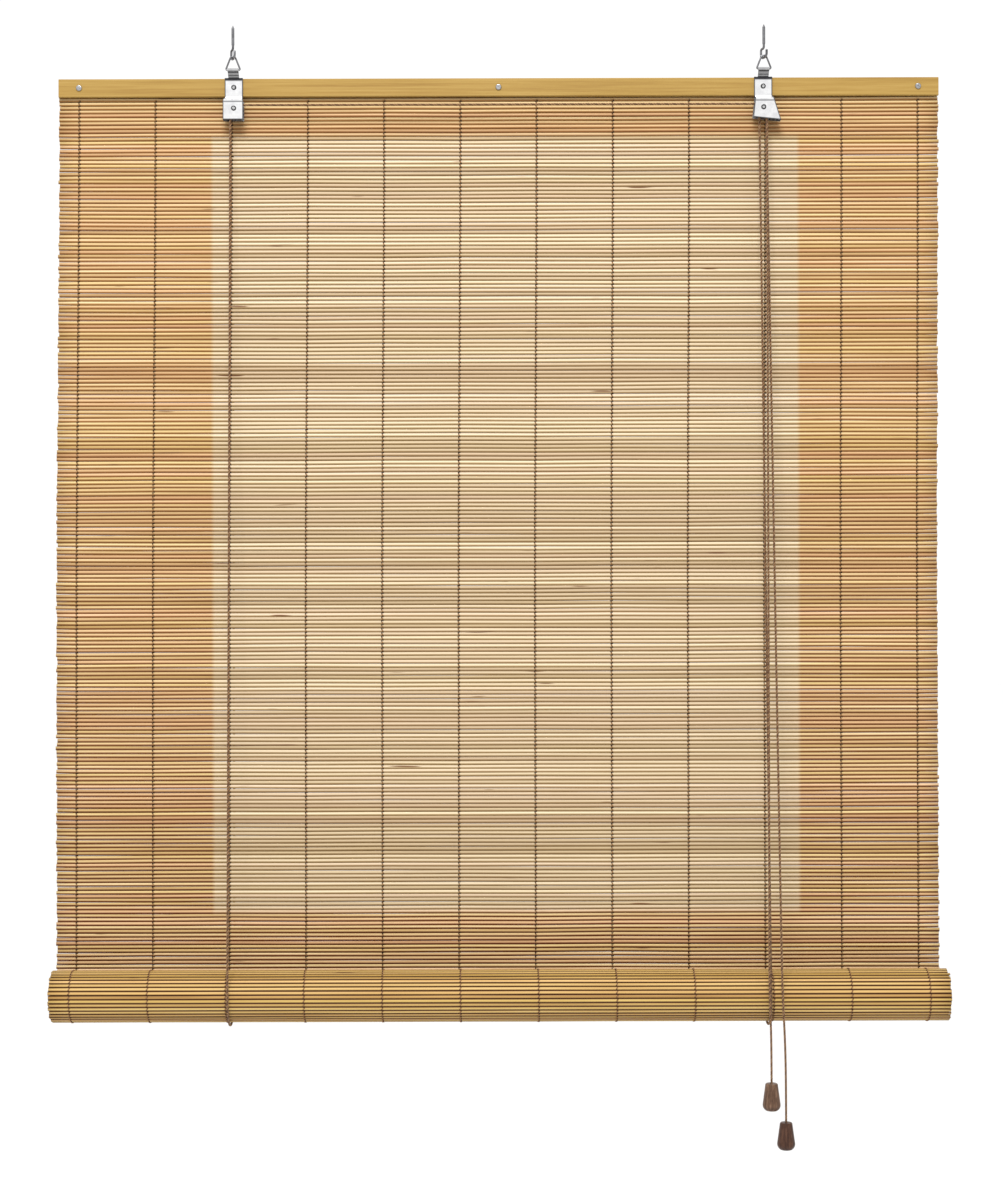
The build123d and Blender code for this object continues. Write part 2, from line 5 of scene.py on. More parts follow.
import bpy
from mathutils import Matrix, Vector


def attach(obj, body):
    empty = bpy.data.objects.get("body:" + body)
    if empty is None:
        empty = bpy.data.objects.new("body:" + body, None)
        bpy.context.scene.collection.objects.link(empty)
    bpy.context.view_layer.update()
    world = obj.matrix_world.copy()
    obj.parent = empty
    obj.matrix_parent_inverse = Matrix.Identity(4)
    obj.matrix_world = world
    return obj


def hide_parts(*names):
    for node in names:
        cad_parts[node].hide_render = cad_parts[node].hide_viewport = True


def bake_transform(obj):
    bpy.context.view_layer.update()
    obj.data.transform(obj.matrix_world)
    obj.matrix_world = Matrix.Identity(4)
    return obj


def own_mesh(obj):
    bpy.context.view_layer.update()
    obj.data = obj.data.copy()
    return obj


# A bamboo roll-up blind that hangs from two screw hooks.
# Metres. X runs along the head rail, Y to the window, Z up, the origin at the ceiling.
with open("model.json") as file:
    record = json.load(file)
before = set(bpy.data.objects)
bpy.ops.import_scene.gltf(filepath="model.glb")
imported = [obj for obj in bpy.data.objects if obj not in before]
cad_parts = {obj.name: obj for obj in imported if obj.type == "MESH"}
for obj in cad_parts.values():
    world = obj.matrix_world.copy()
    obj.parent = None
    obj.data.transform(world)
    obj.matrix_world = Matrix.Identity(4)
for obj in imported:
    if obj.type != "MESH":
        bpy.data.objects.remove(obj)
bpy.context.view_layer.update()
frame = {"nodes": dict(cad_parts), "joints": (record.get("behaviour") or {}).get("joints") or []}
nodes = frame["nodes"]
joints = {joint["name"]: joint for joint in frame["joints"]}

# ---- Places that the frame's joints give ----
_, ROLL_Y, ROLL_Z = joints["roll_spin"]["pos_m"]
LEFT_AXLE_X, FRONT_WHEEL_Y, AXLE_Z = joints["left_wheel_spin"]["pos_m"]
RIGHT_AXLE_X, REAR_WHEEL_Y, _ = joints["right_rear_wheel_spin"]["pos_m"]

# ---- Head rail and brackets ----
RAIL_LENGTH = 0.900
RAIL_HEIGHT = 0.0184
RAIL_FOOT = AXLE_Z + 0.0139
RAIL_MID = RAIL_FOOT + RAIL_HEIGHT / 2
LEFT_BRACKET_X, RIGHT_BRACKET_X = -0.2705, 0.2705
PLATE_HALF = 0.0092
PLATE_TOP_Z = -0.0327
CREASE_Z = -0.0550
LEFT_POCKET = [(-0.2809, CREASE_Z), (-0.2809, -0.0760), (-0.2601, -0.0760), (-0.2601, CREASE_Z)]
RIGHT_POCKET = [(0.2614, CREASE_Z), (0.2594, -0.0746), (0.2877, -0.0776), (0.2806, CREASE_Z)]

# ---- Curtain ----
# The slats just overlap, so that brown creases show between them rather than light.
SLAT_WIDTH = 0.00408
SLAT_PITCH = 0.0040
SLAT_THICKNESS = 0.0012
# A slat's free ends are this share of its width.
SLAT_TIP = 0.95
CURTAIN_Y = 0.0135
FIRST_ROW = RAIL_FOOT - 0.0023
ROW_COUNT = 228
# The rows under the rail that stay flat while the rest is gathered.
FLAT_ROWS = 19
RAIL_ROWS = [RAIL_MID + up for up in (0.0075, 0.0035, -0.00315, -0.00715)]
HEM_Y = CURTAIN_Y + 0.0022
HEM_ROWS = 9
# The hem's threads lie this much nearer the middle than the curtain's.
HEM_SKEW = 0.008
THREAD_COUNT = 12
THREAD_EDGE = 0.0205
THREAD_STEP = (RAIL_LENGTH - 2 * THREAD_EDGE) / (THREAD_COUNT - 1)

# ---- Roll ----
ROLL_RADIUS = 0.0274
ROLL_PITCH = 0.0024
ROLL_SHEET = 0.0013
ROLL_HALF_TURNS = 14
# The run from the roll's outer end to its first slat.
ROLL_START = 0.0008
# The foot of a front lift cord, which goes up with the roll.
ROLL_SHOULDER = 0.020

# ---- Cords ----
CORD_RADIUS = 0.00125
GROOVE = 0.0037
MOUTH_X, MOUTH_Z = RIGHT_AXLE_X + GROOVE, AXLE_Z - 0.0105
LEFT_CORD_X, RIGHT_CORD_X = LEFT_AXLE_X - GROOVE, RIGHT_AXLE_X - GROOVE
RIGHT_CORD_FOOT_X = RIGHT_CORD_X + 0.0040
KNOT_Y = 0.0227
SLING_BACK = CURTAIN_Y + 0.00265
SLING_FRONT = ROLL_Y - ROLL_RADIUS - 0.0017
SLING_Y, SLING_Z = (SLING_FRONT + SLING_BACK) / 2, ROLL_Z + 0.0005
SLING_RADIUS = (SLING_BACK - SLING_FRONT) / 2


# ---- Building nodes ----
def join(tree, value, socket):
    """Joins a node's result to a socket, or sets the socket."""
    if isinstance(value, bpy.types.Node):
        value = value.outputs[0]
    if isinstance(value, bpy.types.NodeSocket):
        tree.links.new(value, socket)
    else:
        socket.default_value = value


def add(tree, kind, sockets=None, **settings):
    """A new node with its settings made and its sockets joined."""
    node = tree.nodes.new(kind)
    for name, value in settings.items():
        setattr(node, name, value)
    for key, value in (sockets or {}).items():
        join(tree, value, node.inputs[key])
    return node


def maths(tree, operation, *values):
    """The result of a sum."""
    node = add(tree, "ShaderNodeMath", dict(enumerate(values)), operation=operation)
    return node.outputs[0]


def vector_maths(tree, operation, *values):
    """The result of a vector sum."""
    node = add(tree, "ShaderNodeVectorMath", dict(enumerate(values)), operation=operation)
    return node.outputs[0]


def combine(tree, x=0.0, y=0.0, z=0.0):
    """A vector from its three parts."""
    return add(tree, "ShaderNodeCombineXYZ", {"X": x, "Y": y, "Z": z}).outputs[0]


def parts_of(tree, vector):
    """The three parts of a vector."""
    return add(tree, "ShaderNodeSeparateXYZ", {"Vector": vector}).outputs


def named(tree, name, data_type="FLOAT"):
    """An attribute that the geometry carries, by its name."""
    node = add(tree, "GeometryNodeInputNamedAttribute", {"Name": name}, data_type=data_type)
    return node.outputs["Attribute"]


SOCKET_KINDS = {
    float: "NodeSocketFloat",
    int: "NodeSocketInt",
    bpy.types.Material: "NodeSocketMaterial",
}


def start_tree(name, inputs):
    """A geometry tree with named inputs: the tree, its input node and its output node."""
    tree = bpy.data.node_groups.new(name, "GeometryNodeTree")
    for way in ("INPUT", "OUTPUT"):
        tree.interface.new_socket("Geometry", in_out=way, socket_type="NodeSocketGeometry")
    for label, kind in inputs.items():
        tree.interface.new_socket(label, in_out="INPUT", socket_type=SOCKET_KINDS[kind])
    return tree, tree.nodes.new("NodeGroupInput"), tree.nodes.new("NodeGroupOutput")


def end_tree(tree, geometry, finish, output):
    """Closes a tree: its instances made real, smooth, and in their finish."""
    real = add(tree, "GeometryNodeRealizeInstances", {"Geometry": geometry})
    smooth = add(tree, "GeometryNodeSetShadeSmooth", {"Geometry": real})
    done = add(tree, "GeometryNodeSetMaterial", {"Geometry": smooth, "Material": finish})
    tree.links.new(done.outputs[0], output.inputs["Geometry"])
    return tree


def link(item):
    """Puts an object in the scene."""
    bpy.context.scene.collection.objects.link(item)
    return item


def made_with(tree, name, base_mesh, **values):
    """The plain mesh that a tree makes of a starting mesh, as an object at the origin."""
    base = link(bpy.data.objects.new(name + "_start", base_mesh))
    modifier = base.modifiers.new(tree.name, "NODES")
    modifier.node_group = tree
    for item in tree.interface.items_tree:
        key = item.name.replace(" ", "_").lower()
        if item.in_out == "INPUT" and key in values:
            modifier[item.identifier] = values[key]
    graph = bpy.context.evaluated_depsgraph_get()
    mesh = bpy.data.meshes.new_from_object(
        base.evaluated_get(graph), preserve_all_data_layers=True, depsgraph=graph
    )
    bpy.data.objects.remove(base)
    mesh.name = name
    return link(bpy.data.objects.new(name, mesh))


def point_mesh(name, points, edges=(), **attributes):
    """A starting mesh of points and edges, with an attribute for each named list."""
    mesh = bpy.data.meshes.new(name)
    mesh.from_pydata([tuple(p) for p in points], list(edges), [])
    for label, values in attributes.items():
        if hasattr(values[0], "__len__"):
            layer = mesh.attributes.new(label, "FLOAT_VECTOR", "POINT")
            layer.data.foreach_set("vector", [part for value in values for part in value])
        else:
            layer = mesh.attributes.new(label, "FLOAT", "POINT")
            layer.data.foreach_set("value", list(values))
    return mesh


# ---- Finishes ----
def shade(red, green, blue):
    """A colour from its 0 to 255 parts, as the shader takes it."""
    parts = [c / 255 for c in (red, green, blue)]
    return [p / 12.92 if p <= 0.04045 else ((p + 0.055) / 1.055) ** 2.4 for p in parts] + [1.0]


def new_finish(name, roughness=0.5, metallic=0.0, specular=0.5):
    """A material with its shader's values set: the material, its tree and its shader."""
    material = bpy.data.materials.new(name)
    material.use_nodes = True
    tree = material.node_tree
    shader = tree.nodes["Principled BSDF"]
    shader.inputs["Roughness"].default_value = roughness
    shader.inputs["Metallic"].default_value = metallic
    shader.inputs["Specular IOR Level"].default_value = specular
    return material, tree, shader


def grain(tree, stretch, detail=3.0, roughness=0.55):
    """Noise drawn out along the object, by a scale for each way."""
    place = add(tree, "ShaderNodeTexCoord").outputs["Object"]
    drawn = add(tree, "ShaderNodeMapping", {"Vector": place, "Scale": stretch})
    sockets = {"Vector": drawn, "Scale": 1.0, "Detail": detail, "Roughness": roughness}
    return add(tree, "ShaderNodeTexNoise", sockets).outputs[0]


def ramp(tree, value, stops):
    """A run of colours, each at its place."""
    node = add(tree, "ShaderNodeValToRGB", {"Fac": value})
    band = node.color_ramp.elements
    while len(band) < len(stops):
        band.new(1.0)
    for element, (place, colour) in zip(band, stops):
        element.position = place
        element.color = colour
    return node.outputs["Color"]


# Most of a noise lies between these.
NOISE_LOW, NOISE_HIGH = 0.3, 0.7


def two_tones(tree, noise, dark, light):
    """A noise as a colour that runs from one tone to another."""
    return ramp(tree, noise, [(NOISE_LOW, dark), (NOISE_HIGH, light)])


def blended(tree, share, first, second, kind="MIX"):
    """Two colours, mixed by a share."""
    node = add(tree, "ShaderNodeMix", data_type="RGBA", blend_type=kind)
    for key, value in ((0, share), (6, first), (7, second)):
        join(tree, value, node.inputs[key])
    return node.outputs[2]


def stepped(tree, value, low, high, start=0.0, end=1.0):
    """A value read between two limits, as a share."""
    sockets = {"Value": value, 1: low, 2: high, 3: start, 4: end}
    return add(tree, "ShaderNodeMapRange", sockets).outputs[0]


def carried(tree, name):
    """A number that the mesh carries."""
    return add(tree, "ShaderNodeAttribute", attribute_name=name).outputs["Fac"]


def roughen(tree, shader, height, strength, depth):
    """Fine relief from a pattern."""
    sockets = {"Height": height, "Strength": strength, "Distance": depth}
    tree.links.new(add(tree, "ShaderNodeBump", sockets).outputs[0], shader.inputs["Normal"])


# The rectangle of painted window light that pales the curtain's middle: its middle and half width,
# its top and foot, and how far each edge fades.
PALED_MIDDLE, PALED_HALF, PALED_SIDE_FADE = 0.0063, 0.3005, 0.0020
PALED_TOP, PALED_FOOT, PALED_END_FADE = -0.0905, -0.8855, 0.0035
# The painted shade on the slats' edges deepens from the first of these levels to the second.
EDGES_BROWN_FROM, EDGES_BROWN_BY = -0.35, -0.92


def painted_light_masks(tree):
    """How much painted window light pales the curtain at a place, and how far the painted shade on
    its slats' edges has deepened there towards the foot.
    """
    place = add(tree, "ShaderNodeTexCoord").outputs["Object"]
    x, _, z = parts_of(tree, place)
    away = maths(tree, "ABSOLUTE", maths(tree, "SUBTRACT", x, PALED_MIDDLE))
    across = stepped(tree, away, PALED_HALF + PALED_SIDE_FADE, PALED_HALF - PALED_SIDE_FADE)
    upper = stepped(tree, z, PALED_TOP + PALED_END_FADE, PALED_TOP - PALED_END_FADE)
    lower = stepped(tree, z, PALED_FOOT - PALED_END_FADE, PALED_FOOT + PALED_END_FADE)
    share = maths(tree, "MULTIPLY", across, maths(tree, "MULTIPLY", upper, lower))
    return share, stepped(tree, z, EDGES_BROWN_FROM, EDGES_BROWN_BY)


# Each slat's colour mixes its own tone, its fibres and its broader streaks in these shares.
TONE_SHARE, FIBRE_SHARE, STREAK_SHARE = 0.20, 0.25, 0.38
MIX_LOW, MIX_HIGH = 0.26, 0.58
ROSY, GOLDEN = (1.0, 0.89, 0.92, 1.0), (0.99, 1.0, 0.83, 1.0)
# How softly the brown edges begin, and how ragged the wider one is. These edges are painted crease
# shade on top of the split edges' own brown.
UNDER_FADE, OVER_FADE, RAGGEDNESS = 0.45, 0.30, 0.5
SPOTS_FROM, SPOTS_FULL = 0.74, 0.80


def split_bamboo(name, stops, edge_shade, mark, lower, under_from, over_from, pale=None):
    """Split bamboo: drawn-out fibres and brown edges of painted shade over the split edges' own
    brown, the one that `lower` points to wider as the shaded side.

    Its two brown edges begin at under_from and over_from, as shares of the slat's half width."""
    material, tree, shader = new_finish(name, roughness=0.5, specular=0.25)
    fibre = grain(tree, (9.0, 2600.0, 2600.0), 4.0)
    streak = grain(tree, (6.0, 300.0, 300.0), 2.0)
    tone = carried(tree, "tone")
    mixed = maths(tree, "MULTIPLY", fibre, FIBRE_SHARE)
    mixed = maths(tree, "MULTIPLY_ADD", tone, TONE_SHARE, mixed)
    mixed = maths(tree, "MULTIPLY_ADD", streak, STREAK_SHARE, mixed)
    colour = ramp(tree, stepped(tree, mixed, MIX_LOW, MIX_HIGH), stops)
    odd = carried(tree, "odd")
    colour = blended(tree, stepped(tree, odd, 0.55, 1.0), colour, ROSY, "MULTIPLY")
    colour = blended(tree, stepped(tree, odd, 0.45, 0.0), colour, GOLDEN, "MULTIPLY")
    across = maths(tree, "MULTIPLY", carried(tree, "across"), lower)
    ragged = maths(tree, "SUBTRACT", across, RAGGEDNESS / 2)
    ragged = maths(tree, "MULTIPLY_ADD", streak, RAGGEDNESS, ragged)
    under = stepped(tree, ragged, under_from, under_from + UNDER_FADE)
    over = stepped(tree, across, over_from, over_from - OVER_FADE)
    edge = maths(tree, "MAXIMUM", under, over)
    # Painted window light pales the slats and their edge shade within the rectangle.
    if pale:
        share, brown = painted_light_masks(tree)
        # The painted edge shade is lighter near the curtain's top and deepens towards its foot.
        edge_shade = blended(tree, brown, pale["upper edge"], edge_shade)
        window_lit = ramp(tree, tone, pale["stops"])
        colour = blended(tree, maths(tree, "MULTIPLY", share, pale["strength"]), colour, window_lit)
        edge_shade = blended(tree, share, edge_shade, pale["edge"])
    # The brown edges: painted shade on each slat's shaded side and in the creases, over the split
    # edges' own brown.
    tinted = blended(tree, 1.0, colour, edge_shade, "MULTIPLY")
    colour = blended(tree, edge, colour, tinted)
    spots = stepped(tree, grain(tree, (16.0, 240.0, 240.0), 1.0), SPOTS_FROM, SPOTS_FULL)
    colour = blended(tree, spots, colour, mark)
    tree.links.new(colour, shader.inputs["Base Color"])
    gloss = stepped(tree, fibre, NOISE_LOW, NOISE_HIGH, 0.42, 0.62)
    tree.links.new(gloss, shader.inputs["Roughness"])
    roughen(tree, shader, fibre, 0.35, 0.0002)
    return material


BAND_SHARE, PORE_FINENESS = 0.75, 6.0
GLOSSIER, DULLER = 0.08, 0.12


def sawn_wood(name, stretch, stops, roughness):
    """Solid wood or thick bamboo: bands of grain along it, pores and a light sheen."""
    material, tree, shader = new_finish(name, roughness=roughness, specular=0.2)
    bands = grain(tree, stretch, 5.0, 0.6)
    pores = grain(tree, [PORE_FINENESS * s for s in stretch], 2.0)
    mixed = maths(tree, "MULTIPLY", pores, 1.0 - BAND_SHARE)
    mixed = maths(tree, "MULTIPLY_ADD", bands, BAND_SHARE, mixed)
    colour = ramp(tree, stepped(tree, mixed, NOISE_LOW, NOISE_HIGH), stops)
    tree.links.new(colour, shader.inputs["Base Color"])
    low, high = roughness - GLOSSIER, roughness + DULLER
    gloss = stepped(tree, pores, NOISE_LOW, NOISE_HIGH, low, high)
    tree.links.new(gloss, shader.inputs["Roughness"])
    roughen(tree, shader, mixed, 0.3, 0.0003)
    return material


def metal(name, dull, bright, low, high):
    """Plated or bare metal: cloudy in its colour, and scuffed between two roughnesses."""
    material, tree, shader = new_finish(name, metallic=1.0)
    clouds = grain(tree, (70.0, 70.0, 70.0), 3.0)
    scratches = grain(tree, (900.0, 900.0, 900.0), 2.0)
    tree.links.new(two_tones(tree, clouds, dull, bright), shader.inputs["Base Color"])
    gloss = stepped(tree, scratches, NOISE_LOW, NOISE_HIGH, low, high)
    tree.links.new(gloss, shader.inputs["Roughness"])
    roughen(tree, shader, scratches, 0.12, 0.00005)
    return material


# Where painted shade darkens a bracket along its cut edges: fully within the first of these, and not
# past the next.
RIM_FULL, RIM_END, RIM_SHARE = 0.0006, 0.0014, 0.95
# How far the painted shade on the neck above the plate rises to full, and how dark it is there.
NECK_RISE, NECK_SHARE = 0.001, 0.70
# A bend's painted shade is full within this share of its reach.
BEND_CORE = 0.4
# Each bend's height, how far its painted shade reaches, and how dark that is.
BRACKET_BENDS = [
    (-0.0577, 0.0013, 0.80),
    (PLATE_TOP_Z - 0.0002, 0.0030, 1.0),
    (-0.0299, 0.0008, 0.95),
    (-0.0272, 0.0008, 1.0),
]


def painted_sheet_shade(tree, place, middle, half, pocket):
    """How much painted shade darkens a bracket's sheet: along its edges, its crease, its top bend and
    its neck.
    """
    x, _, z = parts_of(tree, place)
    away = maths(tree, "ABSOLUTE", maths(tree, "SUBTRACT", x, middle))
    inside = maths(tree, "SUBTRACT", half, away)
    pocket_inside = 1.0
    for (x1, z1), (x2, z2) in zip(pocket, pocket[1:]):
        run = math.hypot(x2 - x1, z2 - z1)
        across, up = (z1 - z2) / run, (x2 - x1) / run
        reach = maths(tree, "MULTIPLY_ADD", x, across, -across * x1 - up * z1)
        reach = maths(tree, "MULTIPLY_ADD", z, up, reach)
        pocket_inside = maths(tree, "MINIMUM", reach, pocket_inside)
    above = maths(tree, "GREATER_THAN", z, CREASE_Z)
    below = maths(tree, "SUBTRACT", 1.0, above)
    depth = maths(tree, "MULTIPLY", inside, above)
    depth = maths(tree, "MULTIPLY_ADD", pocket_inside, below, depth)
    rim = stepped(tree, depth, RIM_END, RIM_FULL, 0.0, RIM_SHARE)
    for level, reach, share in BRACKET_BENDS:
        near = maths(tree, "ABSOLUTE", maths(tree, "SUBTRACT", z, level))
        bend = stepped(tree, near, reach, BEND_CORE * reach, 0.0, share)
        rim = maths(tree, "MAXIMUM", rim, bend)
    neck = stepped(tree, z, PLATE_TOP_Z, PLATE_TOP_Z + NECK_RISE, 0.0, NECK_SHARE)
    return maths(tree, "MAXIMUM", rim, neck)


CLOUDED_NICKEL, BRIGHT_NICKEL = (0.66, 0.66, 0.67, 1.0), (0.80, 0.80, 0.80, 1.0)
# Near-black painted shade, for the brackets' edges and bends and for the heads' rims.
SHEET_SHADE, HEAD_RIM_SHADE = (0.025, 0.025, 0.028, 1.0), (0.03, 0.03, 0.03, 1.0)


def plated_sheet(name, middle, half, pocket):
    """Bright nickel plate, darkened with painted shade where it is bent, along its cut edges and on
    its neck.
    """
    material, tree, shader = new_finish(name, metallic=1.0)
    place = add(tree, "ShaderNodeTexCoord").outputs["Object"]
    clouds = grain(tree, (160.0, 160.0, 160.0), 3.0)
    bright = two_tones(tree, clouds, CLOUDED_NICKEL, BRIGHT_NICKEL)
    dark = painted_sheet_shade(tree, place, middle, half, pocket)
    colour = blended(tree, dark, bright, SHEET_SHADE)
    tree.links.new(colour, shader.inputs["Base Color"])
    tree.links.new(stepped(tree, dark, 0.0, 1.0, 0.24, 0.5), shader.inputs["Roughness"])
    tree.links.new(stepped(tree, dark, 0.0, 0.8, 1.0, 0.0), shader.inputs["Metallic"])
    tree.links.new(stepped(tree, dark, 0.0, 1.0, 0.5, 0.1), shader.inputs["Specular IOR Level"])
    roughen(tree, shader, clouds, 0.1, 0.00005)
    return material


# A head is clear of painted rim shade this near its middle, and fully dark with it this far from it.
HEAD_UNSHADED, HEAD_RIM = 0.0010, 0.0017


def headed(name, dull, bright, centres):
    """Steel heads, cloudy in the middle and dark round their rims with painted shade."""
    material, tree, shader = new_finish(name, metallic=1.0)
    place = add(tree, "ShaderNodeTexCoord").outputs["Object"]
    flat = vector_maths(tree, "MULTIPLY", place, (1.0, 0.0, 1.0))
    nearest = 1.0
    for x, z in centres:
        ends = {0: flat, 1: (x, 0.0, z)}
        gap = add(tree, "ShaderNodeVectorMath", ends, operation="DISTANCE")
        nearest = maths(tree, "MINIMUM", gap.outputs["Value"], nearest)
    clouds = grain(tree, (500.0, 500.0, 500.0), 2.0)
    unshaded = two_tones(tree, clouds, dull, bright)
    rim = stepped(tree, nearest, HEAD_UNSHADED, HEAD_RIM)
    tree.links.new(blended(tree, rim, unshaded, HEAD_RIM_SHADE), shader.inputs["Base Color"])
    gloss = stepped(tree, clouds, NOISE_LOW, NOISE_HIGH, 0.22, 0.4)
    tree.links.new(gloss, shader.inputs["Roughness"])
    return material


def spun(name, deep, middle, light):
    """Spun yarn: painted shade dark between its strands, one strand lighter, and hairy all over."""
    material, tree, shader = new_finish(name, roughness=0.9, specular=0.2)
    hairs = grain(tree, (2600.0, 2600.0, 2600.0), 2.0)
    crown = carried(tree, "crown")
    strand = stepped(tree, carried(tree, "strand"), 0.2, 0.8)
    yarn = blended(tree, strand, middle, light)
    # Painted shade in the valleys between the strands, broken up by the hairs.
    lit = maths(tree, "MULTIPLY_ADD", hairs, 0.5, maths(tree, "MULTIPLY", crown, 0.75))
    colour = blended(tree, stepped(tree, lit, 0.3, 0.85), deep, yarn)
    tree.links.new(colour, shader.inputs["Base Color"])
    shader.inputs["Sheen Weight"].default_value = 0.15
    roughen(tree, shader, hairs, 0.5, 0.0002)
    return material


def sewing_thread(name, sunk_shade, dark, light):
    """Thin thread, hairy, with painted shade dark where it sinks between the slats."""
    material, tree, shader = new_finish(name, roughness=0.85, specular=0.2)
    hairs = grain(tree, (1800.0, 1800.0, 900.0), 2.0)
    unshaded = ramp(tree, hairs, [(0.35, dark), (0.7, light)])
    over = maths(tree, "ABSOLUTE", maths(tree, "COSINE", carried(tree, "phase")))
    # Painted shade where the thread sinks between the slats.
    colour = blended(tree, stepped(tree, over, 0.60, 1.0), sunk_shade, unshaded)
    tree.links.new(colour, shader.inputs["Base Color"])
    roughen(tree, shader, hairs, 0.4, 0.0001)
    return material


SLAT_STOPS = [
    (0.00, shade(154, 121, 78)),
    (0.30, shade(174, 143, 98)),
    (0.60, shade(188, 160, 114)),
    (1.00, shade(206, 182, 140)),
]
ROLL_STOPS = [
    (0.00, shade(148, 114, 60)),
    (0.30, shade(170, 136, 76)),
    (0.60, shade(184, 152, 90)),
    (1.00, shade(200, 172, 112)),
]
# Painted crease shade on the split edges' own brown, for the curtain's foot and for the roll.
SLAT_EDGE_SHADE, ROLL_EDGE_SHADE = shade(128, 74, 12), shade(104, 66, 20)
SLAT_MARK, ROLL_MARK = shade(104, 70, 40), shade(100, 66, 34)
# The painted window light: how strongly it pales the slats, the colours it pales them to, the paler
# edge shade within it, and the lighter edge shade near the curtain's top.
PALE = {
    "strength": 0.60,
    "stops": [(0.0, shade(166, 150, 124)), (1.0, shade(210, 197, 175))],
    "edge": shade(182, 165, 134),
    "upper edge": shade(180, 147, 106),
}
slat_bamboo = split_bamboo(
    "slat_bamboo", SLAT_STOPS, SLAT_EDGE_SHADE, SLAT_MARK, -1.0, -0.10, -0.80, PALE
)
roll_bamboo = split_bamboo("roll_bamboo", ROLL_STOPS, ROLL_EDGE_SHADE, ROLL_MARK, 1.0, 0.38, -0.40)
rail_bamboo = sawn_wood(
    "rail_bamboo",
    (7.0, 420.0, 420.0),
    [(0.0, shade(130, 98, 44)), (0.5, shade(148, 118, 58)), (1.0, shade(160, 131, 72))],
    0.45,
)
lath_wood = sawn_wood(
    "lath_wood",
    (10.0, 300.0, 300.0),
    [(0.0, shade(110, 82, 48)), (1.0, shade(146, 118, 80))],
    0.6,
)
inner_knob_wood = sawn_wood(
    "inner_knob_wood",
    (420.0, 420.0, 40.0),
    [(0.0, shade(48, 31, 22)), (0.5, shade(86, 63, 48)), (1.0, shade(126, 99, 80))],
    0.38,
)
outer_knob_wood = sawn_wood(
    "outer_knob_wood",
    (420.0, 420.0, 40.0),
    [(0.0, shade(34, 19, 13)), (0.5, shade(63, 40, 29)), (1.0, shade(98, 68, 52))],
    0.38,
)
nickel_sheet = metal("nickel_sheet", (0.40, 0.40, 0.41, 1), (0.60, 0.60, 0.60, 1), 0.2, 0.34)
left_nickel = plated_sheet("left_bracket_nickel", LEFT_BRACKET_X, PLATE_HALF, LEFT_POCKET)
right_nickel = plated_sheet("right_bracket_nickel", RIGHT_BRACKET_X, PLATE_HALF, RIGHT_POCKET)
steel_wire = metal("steel_wire", (0.10, 0.10, 0.105, 1), (0.24, 0.24, 0.25, 1), 0.22, 0.38)
fastener_steel = metal("fastener_steel", (0.28, 0.28, 0.29, 1), (0.46, 0.46, 0.46, 1), 0.22, 0.36)
bracket_heads = headed(
    "bracket_head_steel",
    (0.30, 0.30, 0.30, 1.0),
    (0.62, 0.62, 0.62, 1.0),
    [
        (LEFT_BRACKET_X, RAIL_MID),
        (RIGHT_BRACKET_X, RAIL_MID),
        (LEFT_AXLE_X, AXLE_Z),
        (RIGHT_AXLE_X, AXLE_Z),
    ],
)
wheel_brass = metal("wheel_brass", (0.40, 0.29, 0.12, 1), (0.55, 0.42, 0.20, 1), 0.22, 0.36)
# The cord's first colour is the painted shade between its strands.
cord_yarn = spun("cord", shade(44, 27, 16), shade(106, 74, 47), shade(148, 112, 76))
# Each thread's first colour, here and below, is the painted shade where it sinks between the slats.
warp_thread = sewing_thread(
    "warp_thread", shade(26, 13, 6), shade(112, 76, 42), shade(152, 112, 68)
)
roll_thread = sewing_thread(
    "roll_thread", shade(58, 34, 18), shade(120, 84, 54), shade(154, 116, 80)
)


# ---- Camera ----
CAMERA_PLACE = (0.0017, -2.292, -0.566)
CAMERA_LEVEL, CAMERA_ROLL = 90.0, 0.15
CAMERA_LENS, CAMERA_SENSOR, CAMERA_REACH = 67.47, 36.0, 200.0


def make_camera():
    """A camera straight in front of the blind, level with its middle."""
    camera = link(bpy.data.objects.new("camera", bpy.data.cameras.new("camera")))
    camera.data.sensor_width = CAMERA_SENSOR
    camera.data.lens = CAMERA_LENS
    camera.data.clip_end = CAMERA_REACH
    camera.location = CAMERA_PLACE
    camera.rotation_euler = (math.radians(CAMERA_LEVEL), math.radians(CAMERA_ROLL), 0.0)
    bpy.context.scene.camera = camera


make_camera()


# ---- Cords ----
# A cord's section is a ring of a dozen points, four to each of its three strands.
STRANDS, STRAND_POINTS = 3, 4
STRAND_VALLEY = 0.74


